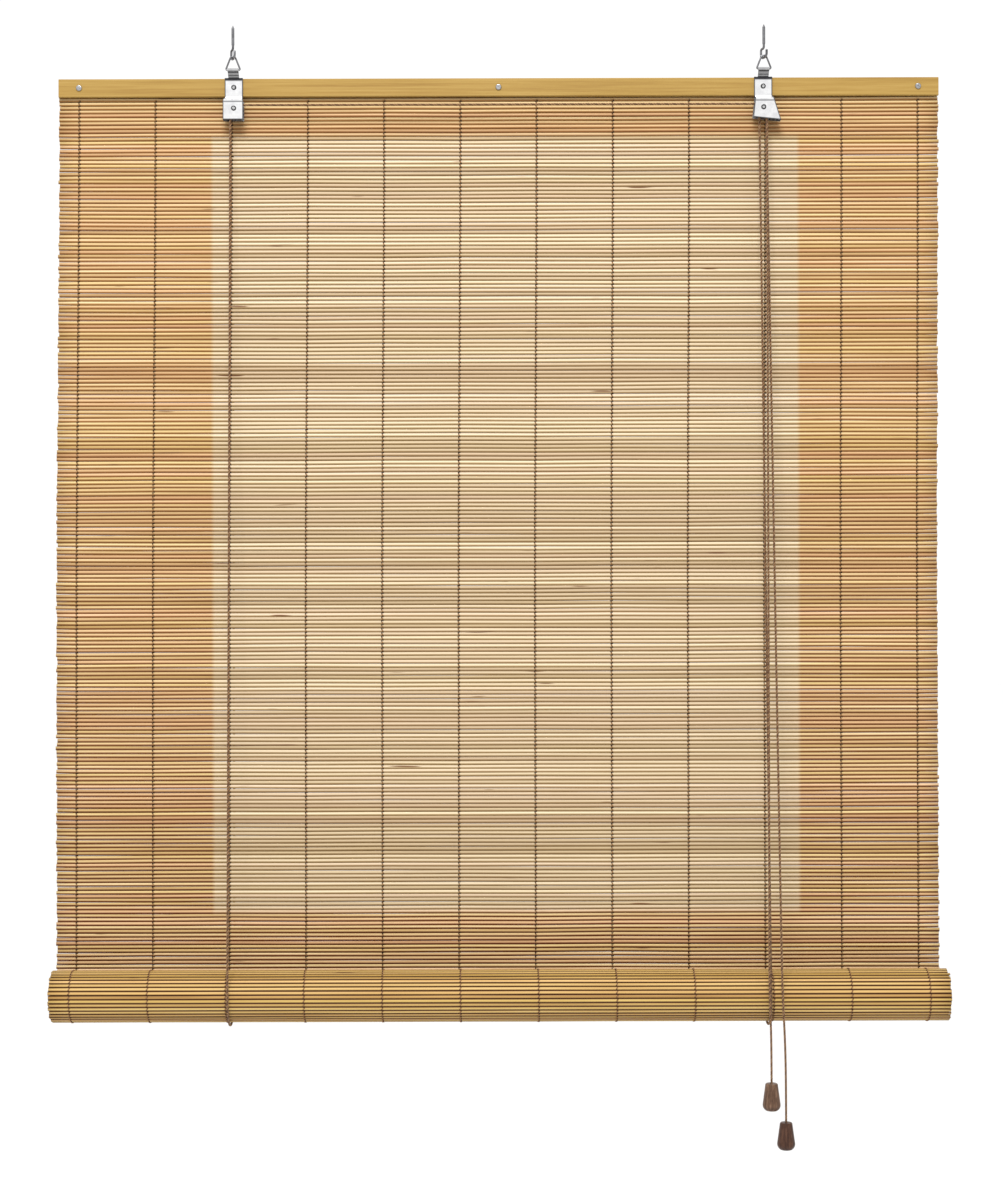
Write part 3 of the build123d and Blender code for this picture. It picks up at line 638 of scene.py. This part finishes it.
def rope_tree():
    """Three strands laid round each other along a line."""
    inputs = {"Radius": float, "Lay": float, "Step": float, "Finish": bpy.types.Material}
    tree, given, output = start_tree("lay_rope", inputs)
    curve = add(tree, "GeometryNodeMeshToCurve", {"Mesh": given.outputs["Geometry"]})
    sockets = {"Curve": curve, "Length": given.outputs["Step"]}
    even = add(tree, "GeometryNodeResampleCurve", sockets, mode="LENGTH")
    along = add(tree, "GeometryNodeSplineParameter").outputs["Length"]
    turns = maths(tree, "DIVIDE", along, given.outputs["Lay"])
    tilt = maths(tree, "MULTIPLY", turns, 2 * math.pi)
    twisted = add(tree, "GeometryNodeSetCurveTilt", {"Curve": even, "Tilt": tilt})
    sockets = {"Resolution": STRANDS * STRAND_POINTS, "Radius": 1.0}
    ring = add(tree, "GeometryNodeCurvePrimitiveCircle", sockets)
    index = add(tree, "GeometryNodeInputIndex").outputs[0]
    half_strand = STRAND_POINTS / 2
    in_strand = maths(tree, "MODULO", index, float(STRAND_POINTS))
    from_crown = maths(tree, "ABSOLUTE", maths(tree, "SUBTRACT", in_strand, half_strand))
    crown = maths(tree, "SUBTRACT", 1.0, maths(tree, "DIVIDE", from_crown, half_strand))
    reach = stepped(tree, crown, 0.0, 1.0, STRAND_VALLEY, 1.0)
    wide = maths(tree, "MULTIPLY", reach, given.outputs["Radius"])
    place = add(tree, "GeometryNodeInputPosition").outputs[0]
    scaled = add(tree, "ShaderNodeVectorMath", {0: place, "Scale": wide}, operation="SCALE")
    strand = maths(tree, "FLOOR", maths(tree, "DIVIDE", index, float(STRAND_POINTS)))
    shape = ring.outputs[0]
    for name, value in (("crown", crown), ("strand", strand)):
        sockets = {"Geometry": shape, "Name": name, "Value": value}
        shape = add(tree, "GeometryNodeStoreNamedAttribute", sockets).outputs[0]
    sockets = {"Geometry": shape, "Position": scaled.outputs[0]}
    section = add(tree, "GeometryNodeSetPosition", sockets)
    sockets = {"Curve": twisted, "Profile Curve": section, "Fill Caps": True}
    rope = add(tree, "GeometryNodeCurveToMesh", sockets)
    return end_tree(tree, rope, given.outputs["Finish"], output)


lay_rope = rope_tree()


def smooth_line(name, route):
    """The points of a smooth line along a route, as an edge mesh."""
    curve = bpy.data.curves.new(name, "CURVE")
    curve.dimensions = "3D"
    curve.resolution_u = 24
    spline = curve.splines.new("NURBS")
    spline.points.add(len(route) - 1)
    for point, place in zip(spline.points, route):
        point.co = (*place, 1.0)
    spline.order_u = 3
    spline.use_endpoint_u = True
    item = link(bpy.data.objects.new(name, curve))
    graph = bpy.context.evaluated_depsgraph_get()
    mesh = bpy.data.meshes.new_from_object(item.evaluated_get(graph))
    bpy.data.objects.remove(item)
    return mesh


CORD_LAY, CORD_STEP = 6.4, 0.00085


def rope(name, route, radius=CORD_RADIUS):
    """A twisted cord along a route, and the points that it follows."""
    line = smooth_line(name + "_line", route)
    points = [tuple(v.co) for v in line.vertices]
    piece = made_with(
        lay_rope,
        name,
        line,
        radius=radius,
        lay=CORD_LAY * radius,
        step=CORD_STEP,
        finish=cord_yarn,
    )
    return piece, points


def round_turn(centre, radius, start, end, count):
    """Control points of a turn about a centre, between two angles in degrees, in a plane."""
    step = math.radians(end - start) / count
    outer = radius / math.cos(step / 2)
    first, last = math.radians(start), math.radians(end)
    turn = [(first, radius)]
    turn += [(first + step * (i + 0.5), outer) for i in range(count)]
    turn.append((last, radius))
    return [(centre[0] + r * math.cos(a), centre[1] + r * math.sin(a)) for a, r in turn]


def sling_touch(top_y, top_z, behind):
    """The angle at which a straight cord from above meets the round of its sling."""
    across, up = top_y - SLING_Y, top_z - SLING_Z
    spread = math.degrees(math.acos(SLING_RADIUS / math.hypot(across, up)))
    return math.degrees(math.atan2(up, across)) + (-spread if behind else spread)


# The pull cords' routes are the part's own, listed one by one, and these are their lengths.
PULL_ROUTES = {
    "inner": [
        (MOUTH_X, FRONT_WHEEL_Y, MOUTH_Z),
        (MOUTH_X, FRONT_WHEEL_Y, -0.0914),
        (0.2683, -0.0474, -0.9250),
        (0.2681, -0.0488, -0.9580),
        (0.2699, -0.0482, -1.0060),
        (0.2699, -0.0482, -1.0490),
    ],
    "outer": [
        (MOUTH_X, REAR_WHEEL_Y, MOUTH_Z),
        (MOUTH_X, REAR_WHEEL_Y, -0.0914),
        (0.2804, -0.0472, -0.9250),
        (0.2811, -0.0488, -0.9600),
        (0.2836, -0.0483, -1.0100),
        (0.2843, -0.0481, -1.0500),
        (0.2843, -0.0481, -1.0880),
    ],
}
KNOT_POINTS, KNOT_OPENING, KNOT_DEPTH = 15, 0.35, 1.6
PULL_KNOT_DROP, PULL_KNOT_SIZE, PULL_KNOT_CORD = 0.0205, 0.0024, 0.0010
LIFT_KNOT_Y, LIFT_KNOT_Z, LIFT_KNOT_SIZE, LIFT_KNOT_CORD = 0.0240, -0.0391, 0.0019, 0.0009


def overhand_knot(name, centre, size, radius):
    """A small knot tied in cord: a trefoil, left open where its two ends come out."""
    route = []
    for i in range(KNOT_POINTS):
        t = KNOT_OPENING + 2 * (math.pi - KNOT_OPENING) * i / (KNOT_POINTS - 1)
        x = math.sin(t) + 2 * math.sin(2 * t)
        y = math.cos(t) - 2 * math.cos(2 * t)
        z = -KNOT_DEPTH * math.sin(3 * t)
        route.append(Vector(centre) + Vector((x, y, z)) * size / 3)
    return rope(name, route, radius)[0]


for side, route in PULL_ROUTES.items():
    cord, line = rope(f"{side}_pull_rope", route)
    body = f"{side}_pull"
    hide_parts(f"{side}_pull_cord")
    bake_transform(cord)
    x, y, z = route[-1]
    inside = (x, y, z - PULL_KNOT_DROP)
    knot = overhand_knot(f"{side}_pull_knot_tied", inside, PULL_KNOT_SIZE, PULL_KNOT_CORD)
    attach(knot, body)
    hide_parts(f"{side}_pull_knot")


def held_cord(name, route, node, body="blind"):
    """A cord that one body holds at both ends."""
    piece, _ = rope(name, route)
    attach(piece, body)
    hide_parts(node)
    return piece


def over_wheel(axle_x, wheel_y, start, end, count):
    """A cord's turn in the groove of a wheel."""
    turn = round_turn((axle_x, AXLE_Z), GROOVE, start, end, count)
    return [(x, wheel_y, z) for x, z in turn]


crossing = over_wheel(LEFT_AXLE_X, FRONT_WHEEL_Y, 180.0, 90.0, 2)
crossing += over_wheel(RIGHT_AXLE_X, FRONT_WHEEL_Y, 90.0, 0.0, 2)
crossing.append((MOUTH_X, FRONT_WHEEL_Y, MOUTH_Z))
held_cord("crossing_rope", crossing, "crossing_cord")
half_turn = over_wheel(RIGHT_AXLE_X, REAR_WHEEL_Y, 180.0, 0.0, 4)
half_turn.append((MOUTH_X, REAR_WHEEL_Y, MOUTH_Z))
held_cord("right_turn_rope", half_turn, "right_turn_cord")


def level_with(top, foot, z):
    """The place on a straight run, from its top to its foot, that lies at a height."""
    return tuple(Vector(top).lerp(Vector(foot), (top[2] - z) / (top[2] - foot[2])))


def lift_run(name, node, top, foot):
    """A straight run of lift cord, which shortens towards its top as the roll rises."""
    cord = held_cord(name, [top, foot], node)
    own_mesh(cord)


# Each lift cord's side, the x of its top, its wheel's depth, and the x of its foot.
LIFT_CORDS = (
    ("left", LEFT_CORD_X, FRONT_WHEEL_Y, LEFT_CORD_X),
    ("right", RIGHT_CORD_X, REAR_WHEEL_Y, RIGHT_CORD_FOOT_X),
)
for side, top_x, wheel_y, foot_x in LIFT_CORDS:
    back = sling_touch(KNOT_Y, RAIL_MID, True)
    front = sling_touch(wheel_y, AXLE_Z, False)
    turn = round_turn((SLING_Y, SLING_Z), SLING_RADIUS, front, 360.0 + back, 7)
    loop = [(foot_x, y, z) for y, z in turn]
    held_cord(f"{side}_sling_rope", loop, f"{side}_cord_sling", body="slings")
    lift_run(f"{side}_rear_rope", f"{side}_lift_cord_rear", (foot_x, KNOT_Y, RAIL_MID), loop[-1])
    node = f"{side}_lift_cord_front"
    top, foot = (top_x, wheel_y, AXLE_Z), loop[0]
    mouth = level_with(top, foot, MOUTH_Z)
    shoulder = level_with(top, foot, foot[2] + ROLL_SHOULDER)
    held_cord(f"{side}_wheel_rope", [top, mouth], node)
    lift_run(f"{side}_front_rope", node, mouth, shoulder)
    held_cord(f"{side}_shoulder_rope", [shoulder, foot], node, body="slings")

for side, x in (("left", LEFT_CORD_X), ("right", RIGHT_CORD_FOOT_X)):
    behind = (x, LIFT_KNOT_Y, LIFT_KNOT_Z)
    knot = overhand_knot(f"{side}_cord_knot", behind, LIFT_KNOT_SIZE, LIFT_KNOT_CORD)
    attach(knot, "blind")
    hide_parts("lift_cord_knots")


# ---- Curtain slats ----
def crept(tree, geometry):
    """Geometry moved along X by its own slide, and spread from the middle by its own flare."""
    x = parts_of(tree, add(tree, "GeometryNodeInputPosition"))[0]
    along = maths(tree, "MULTIPLY_ADD", x, named(tree, "flare"), named(tree, "slide"))
    sockets = {"Geometry": geometry, "Offset": combine(tree, along)}
    return add(tree, "GeometryNodeSetPosition", sockets)


# A slat is a six-sided bar, whose section's corners lie on a circle before it is sized.
SLAT_SIDES, SECTION_DEPTH = 6, math.sqrt(3)
# What differs from slat to slat: thickness and width, as shares.
THINNEST, THICKEST, NARROWEST, WIDEST = 0.90, 1.05, 0.96, 1.03
# Noise is read far apart for each slat, so that no two waver alike.
SLATS_APART = 900.0
WAVES_PER_METRE, WAVE_GAIN, WAVE_DEPTH = 7.0, 4.0, 0.6
SWAYS_ALONG, SWAYS_DOWN = 6.0, 14.0
END_REACH = 0.001


def blank_slat(tree, want, half):
    """One slat along X: lens-shaped in section, with a ring at each thread and narrower tips."""
    segments = maths(tree, "ADD", want["Threads"], 1.0)
    whole = maths(tree, "MULTIPLY", segments, want["Thread Step"])
    sockets = {"Vertices": SLAT_SIDES, "Side Segments": segments, "Radius": 1.0, "Depth": whole}
    blank = add(tree, "GeometryNodeMeshCylinder", sockets)
    x, y, z = parts_of(tree, add(tree, "GeometryNodeInputPosition"))
    sockets = {"Geometry": blank, "Name": "across", "Value": x}
    carved = add(tree, "GeometryNodeStoreNamedAttribute", sockets)
    back = maths(tree, "MULTIPLY", half, -1.0)
    along = maths(tree, "MAXIMUM", maths(tree, "MINIMUM", z, half), back)
    tip = maths(tree, "GREATER_THAN", maths(tree, "ABSOLUTE", z), half)
    taper = stepped(tree, tip, 0.0, 1.0, 1.0, SLAT_TIP)
    thin = maths(tree, "DIVIDE", want["Thickness"], -SECTION_DEPTH)
    deep = maths(tree, "MULTIPLY", y, thin)
    wide = maths(tree, "MULTIPLY", x, maths(tree, "MULTIPLY", want["Width"], 0.5))
    wide = maths(tree, "MULTIPLY", wide, taper)
    sockets = {"Geometry": carved, "Position": combine(tree, along, deep, wide)}
    return add(tree, "GeometryNodeSetPosition", sockets)


def uneven(tree, want, half):
    """How far each point of the laid slats strays: they waver, jut out at their ends and sway."""
    x, _, z = parts_of(tree, add(tree, "GeometryNodeInputPosition"))
    row = maths(tree, "MULTIPLY", named(tree, "odd"), SLATS_APART)
    spot = combine(tree, maths(tree, "MULTIPLY", x, WAVES_PER_METRE), row, 0.0)
    wave = add(tree, "ShaderNodeTexNoise", {"Vector": spot, "Scale": 1.0, "Detail": 1.0})
    centred = vector_maths(tree, "SUBTRACT", wave.outputs["Color"], (0.5, 0.5, 0.5))
    waver = maths(tree, "MULTIPLY", want["Waver"], WAVE_GAIN)
    reach = combine(tree, 0.0, maths(tree, "MULTIPLY", waver, WAVE_DEPTH), waver)
    shift = vector_maths(tree, "MULTIPLY", centred, reach)
    sockets = {"Vector": combine(tree, maths(tree, "SIGN", x), row, 0.0)}
    toss = add(tree, "ShaderNodeTexWhiteNoise", sockets, noise_dimensions="3D").outputs["Value"]
    near_end = maths(tree, "SUBTRACT", half, END_REACH)
    far = maths(tree, "GREATER_THAN", maths(tree, "ABSOLUTE", x), near_end)
    jut = maths(tree, "MULTIPLY", maths(tree, "SUBTRACT", toss, 0.5), want["Uneven Ends"])
    jut = maths(tree, "MULTIPLY", maths(tree, "MULTIPLY", jut, 2.0), far)
    along, down = maths(tree, "MULTIPLY", x, SWAYS_ALONG), maths(tree, "MULTIPLY", z, SWAYS_DOWN)
    sockets = {"Vector": combine(tree, along, down), "Scale": 1.0, "Detail": 1.0}
    drift = add(tree, "ShaderNodeTexNoise", sockets)
    sway = maths(tree, "MULTIPLY", maths(tree, "SUBTRACT", drift, 0.5), want["Sway"])
    return vector_maths(tree, "ADD", shift, combine(tree, jut, 0.0, sway))


def slat_tree():
    """Slats laid on points, each with its own size, tone and unevenness."""
    inputs = {
        "Length": float,
        "Width": float,
        "Thickness": float,
        "Threads": int,
        "Thread Step": float,
        "Uneven Ends": float,
        "Waver": float,
        "Sway": float,
        "Seed": int,
        "Finish": bpy.types.Material,
    }
    tree, given, output = start_tree("lay_slats", inputs)
    want = given.outputs
    half = maths(tree, "MULTIPLY", want["Length"], 0.5)

    def chance(low, high, offset):
        """A random number for each slat."""
        seed = maths(tree, "ADD", want["Seed"], float(offset))
        node = add(tree, "FunctionNodeRandomValue", {2: low, 3: high, "Seed": seed})
        return node.outputs[1]

    lean = combine(tree, named(tree, "lean"))
    thickness, width = chance(THINNEST, THICKEST, 1), chance(NARROWEST, WIDEST, 2)
    sockets = {
        "Points": want["Geometry"],
        "Instance": blank_slat(tree, want, half),
        "Rotation": add(tree, "FunctionNodeEulerToRotation", {"Euler": lean}),
        "Scale": combine(tree, 1.0, thickness, width),
    }
    laid = add(tree, "GeometryNodeInstanceOnPoints", sockets).outputs[0]
    for name, value in (("tone", chance(0.0, 1.0, 3)), ("odd", chance(0.0, 1.0, 4))):
        sockets = {"Geometry": laid, "Name": name, "Value": value}
        node = add(tree, "GeometryNodeStoreNamedAttribute", sockets, domain="INSTANCE")
        laid = node.outputs[0]
    real = add(tree, "GeometryNodeRealizeInstances", {"Geometry": laid})
    sockets = {"Geometry": crept(tree, real), "Offset": uneven(tree, want, half)}
    done = add(tree, "GeometryNodeSetPosition", sockets)
    return end_tree(tree, done, want["Finish"], output)


lay_slats = slat_tree()


# How far the slats' ends differ, how far a slat wavers, and how far whole stretches sway.
HANGING = {"uneven_ends": 0.0006, "waver": 0.00024, "sway": 0.0016}
ROLLED = {"uneven_ends": 0.0008, "waver": 0.00012, "sway": 0.0}


def slats(name, places, finish, seed, straying=HANGING):
    """Slats at places given as (y, z, lean, slide, flare)."""
    base = point_mesh(
        name + "_places",
        [(0.0, place[0], place[1]) for place in places],
        lean=[place[2] for place in places],
        slide=[place[3] for place in places],
        flare=[place[4] for place in places],
    )
    return made_with(
        lay_slats,
        name,
        base,
        length=RAIL_LENGTH,
        width=SLAT_WIDTH,
        thickness=SLAT_THICKNESS,
        threads=THREAD_COUNT,
        thread_step=THREAD_STEP,
        seed=seed,
        finish=finish,
        **straying,
    )


def eased(share):
    """A smooth rise from 0 to 1."""
    share = min(max(share, 0.0), 1.0)
    return share * share * (3 - 2 * share)


FOOT_EASE, FOOT_FORWARD = 0.030, 0.0018
CREEP, CREEP_SHARE, FLARE = -0.0030, 0.6, 0.005
ROW_SLIDE, ROLL_SLIDE = 0.0005, 0.0006
ROLL_CREEP, ROLL_WINDING, ROLL_WINDS = -0.0012, 0.0007, 0.11


def row_y(z):
    """The curtain's depth: it eases forward onto the roll at its foot."""
    return CURTAIN_Y - FOOT_FORWARD * eased((ROLL_Z + FOOT_EASE - z) / FOOT_EASE)


def creep(z):
    """How far a row has crept to the left, and by what share it has spread: more lower down."""
    share = (FIRST_ROW - z) / (FIRST_ROW - ROLL_Z)
    return CREEP * eased(share / CREEP_SHARE), FLARE * max(share, 0.0)


chance = random.Random(4)
rows = [FIRST_ROW - SLAT_PITCH * i for i in range(ROW_COUNT)]


def row_places(heights, depth=None):
    """Where a stack of rows lies, each slid a little along."""
    places = []
    for z in heights:
        slide, flare = creep(z)
        y = row_y(z) if depth is None else depth
        slide += chance.uniform(-ROW_SLIDE, ROW_SLIDE)
        places.append((y, z, 0.0, slide, flare))
    return places


upper = slats("upper_curtain", row_places([*RAIL_ROWS, *rows[:FLAT_ROWS]]), slat_bamboo, 11)
lower = slats("lower_curtain", row_places(rows[FLAT_ROWS:]), slat_bamboo, 12)
hem = slats("hem_fold", row_places([*RAIL_ROWS, *rows[:HEM_ROWS]], HEM_Y), slat_bamboo, 13)
for piece, node in ((upper, "curtain_slats"), (lower, "curtain_slats"), (hem, "hem_slats")):
    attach(piece, "blind")
    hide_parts(node)
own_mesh(lower)


# ---- The roll ----
def roll_place(run):
    """Where the rolled curtain lies after a run from its outer end: (y, z, angle)."""
    outer = ROLL_RADIUS - ROLL_SHEET / 2 - ROLL_PITCH / 4
    for i in range(ROLL_HALF_TURNS):
        radius = outer - i * ROLL_PITCH / 2
        if run <= math.pi * radius:
            centre = ROLL_PITCH / 4 if i % 2 == 0 else -ROLL_PITCH / 4
            angle = (2 * math.pi if i % 2 == 0 else math.pi) - run / radius
            y = ROLL_Y + centre + radius * math.cos(angle)
            return y, ROLL_Z + radius * math.sin(angle), angle
        run -= math.pi * radius
    return None


def roll_run():
    """Every slat's place on the roll, from its outer end to the lath."""
    places = []
    while place := roll_place(ROLL_START + SLAT_PITCH * len(places)):
        places.append(place)
    return places


roll_slats = []
for i, (y, z, angle) in enumerate(roll_run()):
    slide = ROLL_CREEP + ROLL_WINDING * math.sin(ROLL_WINDS * i)
    slide += chance.uniform(-ROLL_SLIDE, ROLL_SLIDE)
    roll_slats.append((y, z, angle, slide, FLARE))
rolled = slats("rolled_curtain", roll_slats, roll_bamboo, 14, ROLLED)
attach(rolled, "roll")
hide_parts("curtain_roll")


# ---- Warp threads ----
# Each pair's strands go from one face to the other between slats, and lie flat over them.
STEPS = 4
THREAD_SIDES, THREAD_FLATNESS = 4, 1.5
THREAD_SWING, THREAD_RADIUS = 0.00075, 0.00069
THREAD_DEPTH, ROLL_THREAD_DEPTH = 0.00075, 0.00070
SHOWN_ROWS = 92


def thread_tree():
    """Pairs of threads twisted round the slats along a line, one pair at each place."""
    inputs = {
        "Threads": int,
        "Thread Step": float,
        "Skew": float,
        "Depth": float,
        "Swing": float,
        "Radius": float,
        "Finish": bpy.types.Material,
    }
    tree, given, output = start_tree("twist_threads", inputs)
    want = given.outputs
    phase = named(tree, "phase")
    outward = named(tree, "outward", "FLOAT_VECTOR")
    sockets = {"Resolution": THREAD_SIDES, "Radius": want["Radius"]}
    ring = add(tree, "GeometryNodeCurvePrimitiveCircle", sockets)
    pair = tree.nodes.new("GeometryNodeJoinGeometry")
    for start in (0.0, math.pi):
        turn = maths(tree, "ADD", phase, start)
        out = maths(tree, "MULTIPLY", maths(tree, "COSINE", turn), THREAD_FLATNESS)
        out = maths(tree, "MAXIMUM", maths(tree, "MINIMUM", out, 1.0), -1.0)
        out = maths(tree, "MULTIPLY", out, want["Depth"])
        away = add(tree, "ShaderNodeVectorMath", {0: outward, "Scale": out}, operation="SCALE")
        swing = maths(tree, "MULTIPLY", maths(tree, "SINE", turn), want["Swing"])
        move = vector_maths(tree, "ADD", away.outputs[0], combine(tree, swing))
        sockets = {"Geometry": want["Geometry"], "Offset": move}
        moved = add(tree, "GeometryNodeSetPosition", sockets)
        line = add(tree, "GeometryNodeMeshToCurve", {"Mesh": moved})
        sockets = {"Curve": line, "Profile Curve": ring, "Fill Caps": True}
        strand = add(tree, "GeometryNodeCurveToMesh", sockets)
        tree.links.new(strand.outputs[0], pair.inputs[0])
    gaps = maths(tree, "SUBTRACT", want["Threads"], 1.0)
    left = maths(tree, "MULTIPLY", maths(tree, "MULTIPLY", gaps, want["Thread Step"]), -0.5)
    sockets = {
        "Count": want["Threads"],
        "Start Location": combine(tree, left),
        "Offset": combine(tree, want["Thread Step"]),
    }
    line = add(tree, "GeometryNodeMeshLine", sockets)
    x = parts_of(tree, add(tree, "GeometryNodeInputPosition"))[0]
    skew = maths(tree, "MULTIPLY", want["Skew"], -1.0)
    inward = maths(tree, "MULTIPLY", maths(tree, "SIGN", x), skew)
    sockets = {"Geometry": line, "Offset": combine(tree, inward)}
    places = add(tree, "GeometryNodeSetPosition", sockets)
    sockets = {"Points": places, "Instance": pair}
    spread = add(tree, "GeometryNodeInstanceOnPoints", sockets)
    real = add(tree, "GeometryNodeRealizeInstances", {"Geometry": spread})
    return end_tree(tree, crept(tree, real), want["Finish"], output)


twist_threads = thread_tree()


def threads(name, line, skew=0.0, depth=THREAD_DEPTH, finish=warp_thread):
    """Threads along a line of (y, z, outward y, outward z, slide, flare)."""
    base = point_mesh(
        name + "_line",
        [(0.0, place[0], place[1]) for place in line],
        [(i, i + 1) for i in range(len(line) - 1)],
        phase=[math.pi * i / STEPS for i in range(len(line))],
        outward=[(0.0, place[2], place[3]) for place in line],
        slide=[place[4] for place in line],
        flare=[place[5] for place in line],
    )
    piece = made_with(
        twist_threads,
        name,
        base,
        threads=THREAD_COUNT,
        thread_step=THREAD_STEP,
        skew=skew,
        depth=depth,
        swing=THREAD_SWING,
        radius=THREAD_RADIUS,
        finish=finish,
    )
    return piece


def hanging_line(first, count, depth=None):
    """The line that threads follow down a number of rows."""
    line = []
    for i in range(count * STEPS + 1):
        z = first - SLAT_PITCH * i / STEPS
        line.append((row_y(z) if depth is None else depth, z, -1.0, 0.0, *creep(z)))
    return line


top_threads = threads("upper_threads", hanging_line(rows[0], FLAT_ROWS))
low_threads = threads("lower_threads", hanging_line(rows[FLAT_ROWS], ROW_COUNT - FLAT_ROWS))
hem_threads = threads("hem_fold_threads", hanging_line(rows[0], HEM_ROWS - 1, HEM_Y), HEM_SKEW)
for piece, node in (
    (top_threads, "warp_threads"),
    (low_threads, "warp_threads"),
    (hem_threads, "hem_threads"),
):
    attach(piece, "blind")
    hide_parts(node)
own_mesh(low_threads)

roll_line = []
for i in range(SHOWN_ROWS * STEPS):
    y, z, angle = roll_place(ROLL_START + SLAT_PITCH * i / STEPS)
    roll_line.append((y, z, math.cos(angle), math.sin(angle), ROLL_CREEP, FLARE))
roll_threads = threads("rolled_threads", roll_line, 0.0, ROLL_THREAD_DEPTH, roll_thread)
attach(roll_threads, "roll")


# ---- Finishes of the parts that stay as they are ----
FINISHES = {
    rail_bamboo: ["front_batten", "rear_batten"],
    lath_wood: ["bottom_lath"],
    inner_knob_wood: ["inner_pull_knob"],
    outer_knob_wood: ["outer_pull_knob"],
    left_nickel: ["left_bracket"],
    right_nickel: ["right_bracket"],
    nickel_sheet: ["left_back_plate", "right_back_plate"],
    steel_wire: [
        "left_screw_hook",
        "right_screw_hook",
        "left_bail",
        "right_bail",
        "cord_staples",
    ],
    fastener_steel: ["batten_screws", "left_axle_spacer", "lock_roller"],
    bracket_heads: ["bracket_screws", "left_axle", "right_axle"],
    wheel_brass: ["left_wheel", "right_front_wheel", "right_rear_wheel"],
}
for finish, names in FINISHES.items():
    for name in names:
        slots = nodes[name].data.materials
        slots.clear()
        slots.append(finish)


# ---- Floor and light ----
# The floor lies below the knobs when the cords are pulled all the way.
FLOOR_HALF, FLOOR_Z = 60.0, -2.9
FLOOR_DULL, FLOOR_PALE = (0.97, 0.97, 0.97, 1), (0.985, 0.985, 0.985, 1)
WHITE, WORLD_STRENGTH = (1.0, 1.0, 1.0, 1.0), 1.04
KEY_PLACE, KEY_AIM = (-0.3, -2.8, 2.5), (0.0, 0.0, -0.5)
KEY_WIDTH, KEY_HEIGHT, KEY_POWER = 1.8, 1.2, 178.0


def make_floor():
    """A plain pale floor under the blind."""
    ways = ((-1, -1), (1, -1), (1, 1), (-1, 1))
    corners = [(FLOOR_HALF * x, FLOOR_HALF * y, FLOOR_Z) for x, y in ways]
    mesh = bpy.data.meshes.new("floor")
    mesh.from_pydata(corners, [], [(0, 1, 2, 3)])
    floor = link(bpy.data.objects.new("floor", mesh))
    material, tree, shader = new_finish("pale_floor", roughness=0.9, specular=0.1)
    dust = grain(tree, (3.0, 3.0, 3.0), 2.0)
    tree.links.new(two_tones(tree, dust, FLOOR_DULL, FLOOR_PALE), shader.inputs["Base Color"])
    mesh.materials.append(material)


def make_key_light():
    """A soft rectangular light from above and a little to the left."""
    light = bpy.data.lights.new("key", "AREA")
    light.shape = "RECTANGLE"
    light.size, light.size_y = KEY_WIDTH, KEY_HEIGHT
    light.energy = KEY_POWER
    item = link(bpy.data.objects.new("key", light))
    item.location = KEY_PLACE
    aim = Vector(KEY_AIM) - Vector(KEY_PLACE)
    item.rotation_euler = aim.to_track_quat("-Z", "Y").to_euler()
    item.visible_camera = False


def make_surroundings():
    """Even white surroundings, shown as they are."""
    world = bpy.data.worlds.new("studio")
    bpy.context.scene.world = world
    world.use_nodes = True
    background = world.node_tree.nodes["Background"]
    background.inputs["Color"].default_value = WHITE
    background.inputs["Strength"].default_value = WORLD_STRENGTH
    bpy.context.scene.view_settings.view_transform = "Standard"


make_floor()
make_key_light()
make_surroundings()
